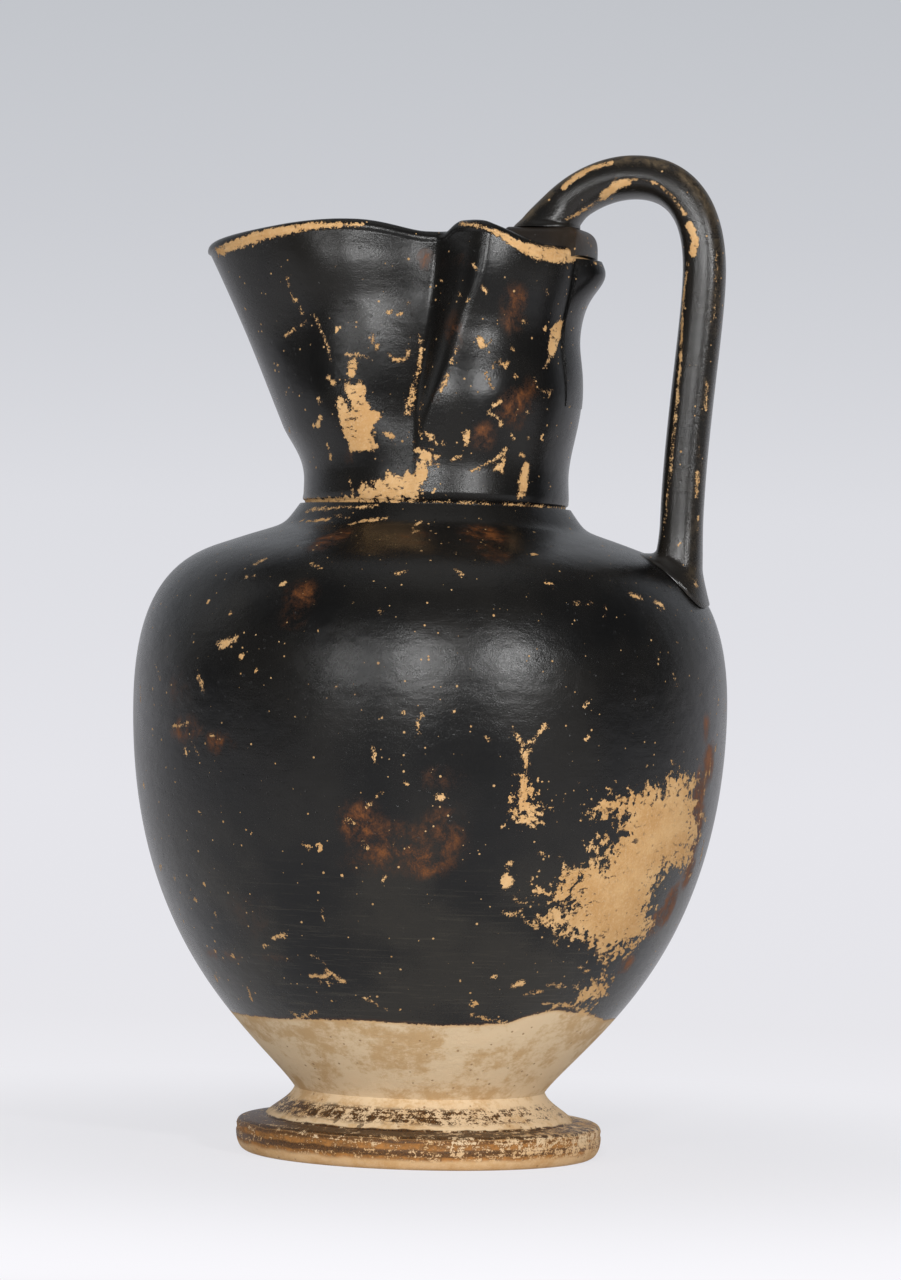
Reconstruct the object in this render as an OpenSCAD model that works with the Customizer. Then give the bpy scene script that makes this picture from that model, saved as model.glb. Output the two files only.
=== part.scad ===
// Trefoil-mouthed jug (oinochoe), thrown and pulled by hand in clay.
// Units are millimetres. The origin is the centre of the resting ring,
// +Z is up, the handle is on the +X side and the pouring lobe on -X.

/* [Foot] */
// Widest diameter of the rounded foot edge
foot_d = 87.6; // [82:0.2:94]
// Height of the rounded foot edge above the table
foot_edge_h = 7.4; // [6:0.1:9]
// Height of the joint between foot and body
waist_z = 15.4; // [14:0.1:18]
// Diameter of the waist where foot and body meet
waist_d = 60; // [56:0.5:64]
// Width of the flat ring the jug stands on
rest_ring_w = 7.5; // [5:0.5:10]
// Width of the flat seat the body is luted to
waist_seat_w = 8.4; // [6:0.2:11]

/* [Body] */
// Widest diameter of the body
body_d = 142.7; // [132:0.5:152]
// Height of the widest part above the table
belly_z = 107.4; // [100:0.5:112]
// Height at which the shoulder turns into the collar
shoulder_z = 145.9; // [143:0.1:149]
// Diameter of the shoulder at that turn
shoulder_d = 97; // [92:0.5:102]
// Height of the joint between body and neck
collar_z = 155; // [153:0.2:158]
// Diameter of the collar at the joint
collar_d = 65; // [63.5:0.1:68]
// Wall thickness of the body
body_wall = 4.6; // [3.6:0.1:6]
// Thickness of the body floor at its centre
floor_t = 6.2; // [4:0.2:8]

/* [Neck and mouth] */
// Narrowest outside diameter of the neck
neck_d = 63.2; // [60:0.2:64]
// Wall thickness of the neck
neck_wall = 3.9; // [3:0.1:5]
// Depth of the lap where the neck drops into the collar
lap_h = 1.5; // [0.8:0.1:2.5]
// Depth of the scraped groove at the foot of the neck
groove_d = 0.6; // [0.2:0.1:1]
// Reach of the pouring lobe from the axis
spout_reach = 57.7; // [50:0.1:61]
// Radius of the back of the mouth
back_r = 36.4; // [34:0.2:39]
// Distance from the middle plane to each flank of the spout, near the rim
flank_y = 23.6; // [20:0.2:26]
// How far each finger pinch pushes the wall in beyond the flank
pinch_depth = 4; // [2:0.2:6.6]
// Angle of each pinch at the rim, from the handle
pinch_a = 78; // [72:1:82]
// Height above the neck joint at which the flanks begin to flatten
pinch_up = 10; // [6:1:16]
// Drop from the top of the handle to the rim at the tip of the pouring lobe
spout_drop = 23; // [20:0.2:26]
// Drop from the top of the handle to the crests of the rim
crest_drop = 18; // [15:0.2:21]
// Drop from the top of the handle to the rim at the back
back_drop = 23; // [20:0.2:27]
// Thickness of the rounded lip
lip_t = 3.8; // [3.4:0.1:5]

/* [Handle] */
// Overall height, to the top of the handle; the rim and pad keep their drop from it
overall_h = 240; // [228:0.5:252]
// Distance of the handle root from the axis
root_r = 25; // [24.4:0.1:25.6]
// Distance of the arch top from the axis
arch_r = 47.2; // [44:0.5:50]
// Farthest distance of the handle centre from the axis
reach_r = 64.4; // [62:0.2:68]
// Distance of the lower end of the grip from the axis
grip_r = 60.5; // [59:0.5:62]
// Thickness of the handle, from inside to outside
handle_t = 10; // [8:0.2:12]
// Width of the handle, from side to side
handle_w = 12.4; // [10:0.2:14]
// Turn of the section at the top of the arch, in degrees
arch_turn = 17; // [0:1:25]
// Turn of the section along the grip, in degrees
grip_turn = 8; // [0:1:15]
// How much the section spreads where it meets the shoulder
flare = 1.15; // [0.6:0.05:1.4]

/* [Root pad and spur] */
// Drop from the top of the handle to the flat top of the root pad
pad_top_drop = 18; // [16:0.1:19.5]
// Distance of the inner end of the pad from the axis
pad_nose_r = 16.6; // [15:0.1:17.4]
// How far the pad reaches down the inside of the mouth
pad_drop = 19; // [14:1:26]
// How far the knob of the spur stands out from the neck
spur_out = 3.4; // [2.5:0.1:6]
// Thickness of the thin tongue below the knob
tail_t = 0.8; // [0.6:0.1:1.6]

/* [Hidden] */

$fn = 160;
clay = [0.79, 0.58, 0.38];
gloss = [0.16, 0.16, 0.17];

// Heights above the table that follow from the sizes above
spout_z = overall_h - spout_drop;
crest_z = overall_h - crest_drop;
back_z = overall_h - back_drop;
pad_z = overall_h - pad_top_drop;
pinch_z = collar_z + pinch_up;
rim_low = min(spout_z, back_z);

// Curve helpers
function bez(p, t) = let (u = 1 - t)
    u * u * u * p[0] + 3 * u * u * t * p[1] + 3 * u * t * t * p[2] + t * t * t * p[3];
function bezdir(p, t) = let (u = 1 - t)
    u * u * (p[1] - p[0]) + 2 * u * t * (p[2] - p[1]) + t * t * (p[3] - p[2]);
function run(p, n, from = 0) = [for (i = [from : n]) bez(p, i / n)];
function step(x, a, b) = let (t = min(1, max(0, (x - a) / (b - a)))) t * t * (3 - 2 * t);
function mix(a, b, t) = a + (b - a) * t;
function bell(x) = exp(-x * x);
function inward(p, t, d) = let (v = bezdir(p, t), n = v / norm(v)) bez(p, t) + d * [-n[1], n[0]];
function back(list) = [for (i = [len(list) - 1 : -1 : 0]) list[i]];

// Foot: outside from the rounded edge up to the waist, inside back down
foot_r = foot_d / 2;
waist_r = waist_d / 2;
waist_in = waist_r - waist_seat_w;
rest_out = foot_r - 2.6;
rest_in = rest_out - rest_ring_w;
edge_low = [[rest_out, 0], [rest_out + 1.9, 0.3], [foot_r, 2.6], [foot_r, foot_edge_h * 0.72]];
edge_top = [[foot_r, foot_edge_h * 0.72], [foot_r, foot_edge_h],
            [foot_r - 0.7, foot_edge_h + 0.5], [foot_r - 2.2, foot_edge_h + 0.6]];
foot_rise = [[foot_r - 6.8, foot_edge_h + 1.3], [waist_r + 5.2, waist_z - 4.6],
             [waist_r + 0.8, waist_z - 2.8], [waist_r, waist_z]];
foot_under = [[waist_in, waist_z], [waist_in + 0.6, waist_z * 0.52],
              [rest_in - 2.8, 2.6], [rest_in, 0]];

module foot() {
    color(clay) rotate_extrude() polygon(concat(
        run(edge_low, 6), run(edge_top, 5, 1), run(foot_rise, 10),
        run(foot_under, 8)));
}

// Body: three curves outside, their offset inside
body_r = body_d / 2;
collar_r = collar_d / 2;
lap_r = collar_r - 2.9;
neck_in = lap_r - 2.1;
lower = [[waist_r, waist_z], [waist_r + 7.8, waist_z + 11.2],
         [body_r, belly_z - 60.7], [body_r, belly_z]];
upper = [[body_r, belly_z], [body_r, belly_z + 32.3],
         [shoulder_d / 2 + 8, shoulder_z - 2.84], [shoulder_d / 2, shoulder_z]];
fillet = [[shoulder_d / 2, shoulder_z], [shoulder_d / 2 - 13.3, shoulder_z + 4.74],
          [collar_r + 4.56, collar_z - 6.48], [collar_r, collar_z]];
throat = [inward(fillet, 0.5, body_wall), [neck_in + 3.6, shoulder_z + 1.4],
          [neck_in, shoulder_z + 2.4], [neck_in, collar_z - lap_h]];
underside = [[0, waist_z - 2.8], [waist_in * 0.4, waist_z - 2.8],
             [waist_in * 0.8, waist_z - 1.6], [waist_in, waist_z]];
floor_in = [[0, waist_z - 2.8 + floor_t], [waist_in * 0.7, waist_z - 2.8 + floor_t],
            inward(lower, 0.06, body_wall) - [3.5, 2.4], inward(lower, 0.12, body_wall)];

module body_outline() {
    polygon(concat(run(underside, 6), run(lower, 26), run(upper, 18, 1), run(fillet, 14, 1),
        [[lap_r, collar_z], [lap_r, collar_z - lap_h]],
        back(run(throat, 6)),
        back([for (i = [0 : 6]) inward(fillet, i / 14, body_wall)]),
        back([for (i = [1 : 17]) inward(upper, i / 18, body_wall)]),
        back([for (i = [4 : 26]) inward(lower, i / 26, body_wall)]),
        back(run(floor_in, 8))));
}

module body() {
    color(gloss) rotate_extrude() body_outline();
}

// The body as one solid lump, used to cut the handle to the shoulder
module body_lump() {
    rotate_extrude() polygon(concat([[0, waist_z]], run(lower, 26), run(upper, 18, 1),
        run(fillet, 14, 1), [[0, collar_z]]));
}

// Mouth: a round neck whose wall is led out to a pouring lobe on one side and
// pushed in by two finger pinches, so the rim becomes a trefoil.
// Angles are measured from the handle, the same on both sides.
neck_r = neck_d / 2;
wall_z = collar_z + 2.4;
function back_wall(z) = neck_r + 2.9 * step(z, wall_z + 4, wall_z + 25)
    - 1.5 * bell((z - wall_z - 38) / 8)
    + (back_r - lip_bulge - neck_r - 2.9) * step(z, wall_z + 42, back_z - 2);
function spout_wall(z) = let (t = max(0, (z - wall_z - 3) / (spout_z - 2 - wall_z - 3)))
    neck_r + (spout_reach - lip_bulge - neck_r) * (0.94 * t + 0.06 * t * t * t)
        * step(t, -0.05, 0.24);
function lobe(a, z) = pow(max(0, -cos(a)), mix(2.2, 5, step(z, wall_z, spout_z)));
// The flanks of the spout stand nearly upright; each one starts at a crease
// that leans towards the handle as it climbs
function crease(z) = mix(pinch_a + 6, pinch_a, step(z, pinch_z + 13, rim_low + 1));
function flank(z) = let (t = max(0, min(1, (z - pinch_z) / (rim_low - 14 - pinch_z))), full = neck_r + 2.4)
    full - (full - flank_y) * 1.15 * t * t / (t + 0.15) + 1.6 * bell((z - rim_low + 3) / 5);
function flat_wall(a, z) = (flank(z) + 16 * (1 - step(a, crease(z) - 15, crease(z))))
    / max(0.05, sin(max(a, 40)));
function pinch(a, z) = let (t = max(0, (z - collar_z - 4) / (crest_z - collar_z - 4)),
        d = a - crease(z), away = (sqrt(d * d + 2) - 1.414) / (d < 0 ? 7 : 12))
    pinch_depth * 1.2 * t * t / (t + 0.2) * exp(-pow(away, 1.2));
function wall_r(a, z) = let (round = mix(back_wall(z), spout_wall(z), lobe(a, z)),
        flat = flat_wall(a, z), near = max(0, min(1, 0.5 + (flat - round) / 9)))
    mix(flat, round, near) - 4.5 * near * (1 - near) - pinch(a, z);
function rim_z(a) = back_z + (crest_z - back_z) * step(a, 30, 64)
    - 2.4 * step(a, pinch_a - 11, pinch_a - 3) * (1 - step(a, pinch_a + 6, pinch_a + 40))
    - (crest_z - spout_z) * step(a, 120, 182);

lip_bulge = (lip_t - 3.2) / 2;
cols = 80;
rise = 24;
lip_rows = 7;
fall = 15;
function fold(i) = let (a = 360 * i / cols) a > 180 ? 360 - a : a;
function polar(r, i) = [r * cos(360 * i / cols), r * sin(360 * i / cols)];
function wall_p(i, z) = polar(wall_r(fold(i), z), i);
// Unit vector across the wall, pointing out of the mouth
function across(i, z) = let (v = wall_p(i + 0.5, z) - wall_p(i - 0.5, z), n = v / norm(v))
    [n[1], -n[0]];
function at_z(p, z) = [p[0], p[1], z];
// Wall thins from the neck towards the lip
function thick(z) = mix(neck_wall, 3.2, step(z, wall_z, back_z - 8));
function lip_c(i) = let (z = rim_z(fold(i)) - lip_t / 2) wall_p(i, z) - 1.6 * across(i, z);

function ring(r, z) = [for (i = [0 : cols - 1]) at_z(polar(r, i), z)];
function outer_z(i, k) = mix(wall_z, rim_z(fold(i)) - lip_t * 0.72, 1 - pow(1 - k / rise, 1.2));
function outer_row(k) = [for (i = [0 : cols - 1]) let (z = outer_z(i, k)) at_z(wall_p(i, z), z)];
// The lip runs from just below its widest line on the outside over the top
function lip_row(k) = [for (i = [0 : cols - 1])
    let (z = rim_z(fold(i)) - lip_t / 2, t = mix(-12, 192, k / (lip_rows - 1)))
    at_z(lip_c(i) + lip_t / 2 * cos(t) * across(i, z), z + lip_t / 2 * sin(t))];
function inner_z(i, k) = mix(rim_z(fold(i)) - lip_t * 0.72 - 1, collar_z + 1.2, k / (fall - 1));
function inner_row(k) = [for (i = [0 : cols - 1]) let (z = inner_z(i, k))
    at_z(wall_p(i, z) - thick(z) * across(i, z), z)];

first_lip = 5 + rise + 1;
neck_rows = concat(
    [ring(lap_r, collar_z - lap_h), ring(lap_r, collar_z), ring(neck_r + 0.3 - groove_d, collar_z),
     ring(neck_r + 0.3 - groove_d, collar_z + 0.7), ring(neck_r + 0.3, collar_z + 1)],
    [for (k = [0 : rise]) outer_row(k)],
    [for (k = [0 : lip_rows - 1]) lip_row(k)],
    [for (k = [0 : fall - 1]) inner_row(k)],
    [ring(neck_in, collar_z - lap_h)]);
neck_n = len(neck_rows);

module neck_and_mouth() {
    color(gloss) polyhedron(
        points = [for (row = neck_rows) each row],
        faces = [for (j = [0 : neck_n - 1], i = [0 : cols - 1])
            let (j2 = (j + 1) % neck_n, i2 = (i + 1) % cols,
                 a = j * cols + i, b = j * cols + i2, c = j2 * cols + i2, d = j2 * cols + i)
            each [[a, c, b], [a, d, c]]],
        convexity = 8);
}

// A clay patch lying on the neck: its underside is the neck's own surface
// between two rows and two columns, its free side is given point by point.
module patch(under, free) {
    m = len(under);
    n = len(under[0]);
    o = m * n;
    color(gloss) polyhedron(
        points = concat([for (row = under) each row], [for (row = free) each row]),
        faces = concat(
            [for (j = [0 : m - 2], i = [0 : n - 2])
                let (a = j * n + i, b = a + 1, d = a + n, c = d + 1)
                each [[a, b, c], [a, c, d], [o + a, o + c, o + b], [o + a, o + d, o + c]]],
            [for (i = [0 : n - 2]) let (e = (m - 1) * n + i)
                each [[i, o + i, o + i + 1], [i, o + i + 1, i + 1],
                      [e, o + e + 1, o + e], [e, e + 1, o + e + 1]]],
            [for (j = [0 : m - 2]) let (a = j * n, e = a + n - 1)
                each [[a, a + n, o + a + n], [a, o + a + n, o + a],
                      [e, o + e, o + e + n], [e, o + e + n, e + n]]]),
        convexity = 6);
}

// Root pad: a tongue of clay over the back of the lip, running down inside
pad_half = 4;
pad_first = first_lip;
pad_last = first_lip + lip_rows - 1 + round(fall * pad_drop / (back_z - collar_z));
pad_m = pad_last - pad_first;
pad_out = back_r + 0.9;
pad_low_r = norm([for (c = [0 : 1]) neck_rows[pad_last][0][c]]);
pad_low_z = neck_rows[pad_last][0][2];
pad_lip = neck_rows[pad_first][0];
pad_top = [[pad_out, pad_lip[2] + 0.4], [pad_out + 0.1, pad_z - 2.2],
           [pad_out - 1.8, pad_z], [pad_out - 5, pad_z]];
pad_nose = [[pad_nose_r + 1.5, pad_z], [pad_nose_r - 0.9, pad_z],
            [pad_nose_r + 0.4, pad_z - 8], [pad_low_r - 1, pad_low_z + 0.4]];
function pad_curve(w) = w < 0.42 ? bez(pad_top, w / 0.42)
    : w < 0.5 ? mix(pad_top[3], pad_nose[0], (w - 0.42) / 0.08) : bez(pad_nose, (w - 0.5) / 0.5);
// Half the pad's width narrows inwards; its outer half bends round the neck
function pad_free(j, i) = let (w = j / pad_m, q = (i - pad_half) / pad_half, p = pad_curve(w),
        y = q * mix(11.4, 9, step(p[0], pad_out, 30)), bend = y * (1 - step(w, 0, 0.5)))
    [sqrt(p[0] * p[0] - bend * bend), y,
     p[1] - 1.6 * pow(abs(q), 8) * step(p[1], pad_z - 10, pad_z)];
pad_under = [for (j = [pad_first : pad_last]) [for (i = [-pad_half : pad_half])
    neck_rows[j][(i + cols) % cols]]];

module handle_root_pad() {
    patch(pad_under, [for (j = [0 : pad_m]) [for (i = [0 : 2 * pad_half]) pad_free(j, i)]]);
}

// Rear spur: a knob under the lip with a thin tongue down the neck
spur_half = 3;
spur_first = 5 + round(rise * 0.32);
spur_last = 5 + rise;
function spur_t(j, i) = let (p = neck_rows[j][0], q = (i - spur_half) / spur_half,
        up = p[2] - (back_z - 6.2))
    tail_t * step(j, spur_first - 1, spur_first + 5) * (1 - 0.45 * pow(abs(q), 2)) + 0.15
        + spur_out * bell(up / 5) * (1 - 0.9 * q * q);
spur_under = [for (j = [spur_last : -1 : spur_first]) [for (i = [spur_half : -1 : -spur_half])
    neck_rows[j][(i + cols) % cols]]];

module rear_spur() {
    patch(spur_under, [for (j = [0 : spur_last - spur_first]) [for (i = [0 : 2 * spur_half])
        let (p = spur_under[j][i], r = norm([p[0], p[1]]), t = spur_t(spur_last - j, i))
        [p[0] * (r + t) / r, p[1] * (r + t) / r, p[2]]]]);
}

// Handle: one section carried along four joined curves in the XZ plane
arch_z = overall_h - handle_t / 2 - 0.7;
handle_path = [
    [[root_r - 2, pad_z - 4.5], [root_r + 2, pad_z + 5.2], [arch_r - 10, arch_z + 0.1],
     [arch_r, arch_z]],
    [[arch_r, arch_z], [mix(arch_r, reach_r, 0.58), arch_z], [reach_r, arch_z - 6.6],
     [reach_r, arch_z - 23]],
    [[reach_r, arch_z - 23], [reach_r, arch_z - 36], [grip_r + 0.3, collar_z + 20],
     [grip_r, collar_z - 3]],
    [[grip_r, collar_z - 3], [grip_r - 0.1, collar_z - 9], [grip_r - 0.9, collar_z - 12.8],
     [grip_r - 4.4, collar_z - 18]]];
handle_steps = [16, 16, 16, 12];
corner = 0.16;
// Eight-sided section with eased corners: [towards the outside, across]
section8 = [for (s = [[0.5, -0.24], [0.5, 0.24], [0.31, 0.5], [-0.31, 0.5],
    [-0.5, 0.24], [-0.5, -0.24], [-0.31, -0.5], [0.31, -0.5]]) [s[0] * handle_t, s[1] * handle_w]];
section = [for (i = [0 : 7])
    let (p = section8[i], a = section8[(i + 7) % 8], b = section8[(i + 1) % 8])
    each [mix(p, a, corner), mix(p, (a + b) / 2, corner * 0.45), mix(p, b, corner)]];
// Turn and spread of the section along each curve
function turn_at(k, t) = k == 0 ? mix(3, arch_turn, step(t, 0.1, 1))
    : k == 1 ? mix(arch_turn, grip_turn, step(t, 0.2, 1)) : k == 2 ? grip_turn : grip_turn * (1 - t);
function spread(k, t) = k == 0 ? 1 + 0.02 * pow(1 - t, 4) - 0.04 * t * (2 - t)
    : k == 1 ? 0.96 + 0.06 * t : k == 2 ? 1.02 : 1.02 + flare * pow(t, 1.7);
function handle_ring(k, t) = let (c = bez(handle_path[k], t),
        v = bezdir(handle_path[k], t), d = v / norm(v),
        g = turn_at(k, t), s = spread(k, t))
    [for (p = section)
        let (n = s * (p[0] * cos(g) - p[1] * sin(g)), b = s * (p[0] * sin(g) + p[1] * cos(g)))
        [c[0] - d[1] * n, b, c[1] + d[0] * n]];
handle_rings = [for (k = [0 : 3], j = [(k == 0 ? 0 : 1) : handle_steps[k]])
    handle_ring(k, j / handle_steps[k])];
hs = len(section);
hn = len(handle_rings);

module handle_sweep() {
    polyhedron(
        points = [for (row = handle_rings) each row],
        faces = concat([[for (i = [hs - 1 : -1 : 0]) i]],
            [[for (i = [0 : hs - 1]) (hn - 1) * hs + i]],
            [for (j = [0 : hn - 2], i = [0 : hs - 1])
                let (i2 = (i + 1) % hs, a = j * hs + i, b = j * hs + i2, c = b + hs, d = a + hs)
                each [[a, b, c], [a, c, d]]]),
        convexity = 8);
}

module handle() {
    color(gloss) difference() {
        handle_sweep();
        body_lump();
        translate([0, -handle_w, pad_z - 20]) cube([arch_r - 4, 2 * handle_w, 20]);
    }
}

foot();
body();
neck_and_mouth();
handle();
handle_root_pad();
rear_spur();
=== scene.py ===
# Trefoil-mouthed black-gloss jug: smooth clay pieces, worn gloss, camera and soft studio light.
# Dictionaries hold millimetres and degrees; meshes are in metres. Angles run round the jug
# from the handle, so the pouring lobe is at 180 and the side in the main view is at -75.
import math

import bpy
import numpy as np
from mathutils import Matrix


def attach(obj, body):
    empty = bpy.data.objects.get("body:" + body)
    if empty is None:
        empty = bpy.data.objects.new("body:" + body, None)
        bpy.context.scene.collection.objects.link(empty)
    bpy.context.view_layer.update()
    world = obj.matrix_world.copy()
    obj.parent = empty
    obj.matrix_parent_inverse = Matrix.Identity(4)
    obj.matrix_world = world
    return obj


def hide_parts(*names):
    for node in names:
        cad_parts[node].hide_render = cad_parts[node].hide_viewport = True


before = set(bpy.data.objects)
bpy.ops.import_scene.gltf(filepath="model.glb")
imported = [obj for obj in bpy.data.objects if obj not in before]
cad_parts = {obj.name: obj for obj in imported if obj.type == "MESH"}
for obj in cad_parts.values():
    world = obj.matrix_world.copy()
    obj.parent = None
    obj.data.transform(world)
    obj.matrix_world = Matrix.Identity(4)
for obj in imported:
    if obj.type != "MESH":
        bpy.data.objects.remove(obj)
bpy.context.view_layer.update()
mm = 0.001
nearSide = -75.0
print("frame loaded:", ", ".join(sorted(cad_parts)))


# curve and mixing helpers, all on numpy arrays
def easeStep(x, a, b):
    t = np.clip((x - a) / (b - a), 0.0, 1.0)
    return t * t * (3 - 2 * t)


def blend(a, b, t):
    return a + (b - a) * t


def bell(x):
    return np.exp(-x * x)


def bezier(points, t):
    p, t = np.array(points, float), np.atleast_1d(t)[:, None]
    u = 1 - t
    return u ** 3 * p[0] + 3 * u * u * t * p[1] + 3 * u * t * t * p[2] + t ** 3 * p[3]


def bezierWay(points, t):
    p, t = np.array(points, float), np.atleast_1d(t)[:, None]
    u = 1 - t
    way = u * u * (p[1] - p[0]) + 2 * u * t * (p[2] - p[1]) + t * t * (p[3] - p[2])
    return way / np.linalg.norm(way, axis=1)[:, None]


def inside(points, t, depth):
    way = bezierWay(points, t)
    return bezier(points, t) + depth * np.stack([-way[:, 1], way[:, 0]], 1)


# a polyline resampled so that no step is longer than the spacing
def walkLine(line, spacing):
    line = np.array(line, float)
    out = [line[0]]
    for a, b in zip(line, line[1:]):
        n = max(1, int(math.ceil(np.linalg.norm(b - a) / spacing)))
        out += [blend(a, b, i / n) for i in range(1, n + 1)]
    return np.array(out)


def evenBezier(points, spacing):
    fine = bezier(points, np.linspace(0, 1, 400))
    run = np.concatenate([[0], np.cumsum(np.linalg.norm(np.diff(fine, axis=0), axis=1))])
    want = np.linspace(0, run[-1], max(2, int(round(run[-1] / spacing)) + 1))
    return np.stack([np.interp(want, run, fine[:, k]) for k in (0, 1)], 1)


def joinRuns(*runs):
    out = [np.array(runs[0], float)]
    for r in runs[1:]:
        r = np.array(r, float)
        out.append(r[1:] if np.linalg.norm(r[0] - out[-1][-1]) < 1e-6 else r)
    return np.concatenate(out)


# one value inside a node tree: plain sums on it make Math and Vector Math nodes
class Field:
    def __init__(self, recipe, socket, vector=False):
        self.recipe, self.socket, self.vector = recipe, socket, vector

    def sum(self, kind, other=None, reflected=False):
        left, right = (other, self) if reflected else (self, other)
        vector = any(isinstance(v, Field) and v.vector for v in (self, other))
        if vector and kind == "MULTIPLY" and not (isinstance(other, Field) and other.vector) \
                and not isinstance(other, tuple):
            way, amount = (self, other) if self.vector else (other, self)
            node = self.recipe.node("ShaderNodeVectorMath", {"operation": "SCALE"}, {0: way, "Scale": amount})
            return Field(self.recipe, node.outputs[0], True)
        values = {i: v for i, v in enumerate((left, right)) if v is not None}
        node = self.recipe.node("ShaderNodeVectorMath" if vector else "ShaderNodeMath",
                                {"operation": kind}, values)
        return Field(self.recipe, node.outputs[0], vector)

    def __add__(self, other): return self.sum("ADD", other)
    def __radd__(self, other): return self.sum("ADD", other)
    def __sub__(self, other): return self.sum("SUBTRACT", other)
    def __rsub__(self, other): return self.sum("SUBTRACT", other, reflected=True)
    def __mul__(self, other): return self.sum("MULTIPLY", other)
    def __rmul__(self, other): return self.sum("MULTIPLY", other)
    def __pow__(self, other): return self.sum("POWER", other)
    def over(self, other): return self.sum("MAXIMUM", other)
    def under(self, other): return self.sum("MINIMUM", other)
    def wave(self): return self.sum("SINE")

    def part(self, name):
        node = self.recipe.node("ShaderNodeSeparateXYZ", {}, {0: self})
        return Field(self.recipe, node.outputs[name])

    # 0 below a, 1 above b, eased between
    def rise(self, a, b):
        node = self.recipe.node("ShaderNodeMapRange", {"interpolation_type": "SMOOTHSTEP"},
                                {"Value": self, "From Min": a, "From Max": b})
        return Field(self.recipe, node.outputs[0])


# a node tree being written: a material's, or a Geometry Nodes group's
class Recipe:
    def __init__(self, tree):
        self.tree, self.place = tree, None

    def node(self, kind, settings, values):
        node = self.tree.nodes.new(kind)
        for key, value in settings.items():
            setattr(node, key, value)
        for key, value in values.items():
            socket = node.inputs[key]
            if isinstance(value, Field):
                self.tree.links.new(value.socket, socket)
            elif isinstance(value, bpy.types.NodeSocket):
                self.tree.links.new(value, socket)
            else:
                socket.default_value = value
        return node

    def attribute(self, name):
        node = self.node("ShaderNodeAttribute", {"attribute_name": name}, {})
        return Field(self, node.outputs["Fac"])

    def spot(self):  # place on the piece, in millimetres
        if self.place is None:
            node = self.node("ShaderNodeTexCoord", {}, {})
            self.place = Field(self, node.outputs["Object"], True) * 1000.0
        return self.place

    def noise(self, where, scale, detail=3.0, rough=0.55, twist=0.0):
        node = self.node("ShaderNodeTexNoise", {}, {"Vector": where, "Scale": scale, "Detail": detail,
                                                    "Roughness": rough, "Distortion": twist})
        return Field(self, node.outputs[0])

    def cells(self, where, scale):
        node = self.node("ShaderNodeTexVoronoi", {}, {"Vector": where, "Scale": scale})
        return Field(self, node.outputs["Distance"]), Field(self, node.outputs["Color"], True)

    def tint(self, amount, a, b):
        node = self.node("ShaderNodeMix", {"data_type": "RGBA"}, {"Factor": amount})
        for socket, value in ((node.inputs[6], a), (node.inputs[7], b)):
            if isinstance(value, Field):
                self.tree.links.new(value.socket, socket)
            else:
                socket.default_value = (*value, 1.0)
        return Field(self, node.outputs[2])

    def bump(self, height, strength, reach=1.0, under=None):
        values = {"Height": height, "Strength": strength, "Distance": reach * mm}
        if under is not None:
            values["Normal"] = under
        return Field(self, self.node("ShaderNodeBump", {}, values).outputs[0])


def newFinish(name):
    finish = bpy.data.materials.new(name)
    finish.use_nodes = True
    tree = finish.node_tree
    tree.nodes.clear()
    return finish, Recipe(tree)


def closeFinish(finish, recipe, colour, roughness, normal, uniform):
    values = {"Base Color": colour, "Roughness": roughness, "Normal": normal}
    values.update(uniform)
    shader = recipe.node("ShaderNodeBsdfPrincipled", {}, values)
    recipe.node("ShaderNodeOutputMaterial", {}, {"Surface": shader.outputs[0]})
    finish.diffuse_color = (0.05, 0.05, 0.05, 1.0)
    return finish


# fired clay where the gloss is gone: warm, with pale dust, ochre flecks and small pits
clay = {
    "fresh": (0.62, 0.38, 0.17), "warm": (0.52, 0.29, 0.11), "dust": (0.70, 0.52, 0.33),
    "pale": (0.70, 0.54, 0.35), "ochre": (0.47, 0.275, 0.105), "pit": (0.30, 0.17, 0.08),
}


def clayColour(recipe, paleness):
    spot = recipe.spot()
    cloud = recipe.noise(spot, 0.11, 4.0, 0.6)
    grain = recipe.noise(spot, 1.6, 5.0, 0.7)
    base = recipe.tint(cloud.rise(0.35, 0.68), clay["warm"], clay["fresh"])
    base = recipe.tint(grain.rise(0.45, 0.8) * 0.55, base, clay["dust"])
    mottle = recipe.noise(spot * (1.0, 1.0, 1.25), 0.085, 9.0, 0.76)
    wash = recipe.tint(mottle.rise(0.46, 0.60) * 0.7, clay["pale"], clay["ochre"])
    wash = recipe.tint(mottle.rise(0.47, 0.36) * 0.5, wash, clay["dust"])
    wash = recipe.tint(grain.rise(0.5, 0.85) * 0.4, wash, clay["dust"])
    base = recipe.tint(paleness, base, wash)
    near, pick = recipe.cells(spot, 0.42)
    pit = (0.16 - near).rise(0.0, 0.07) * pick.part("X").rise(0.55, 0.6)
    return recipe.tint(pit * 0.8, base, clay["pit"]), pit


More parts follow.
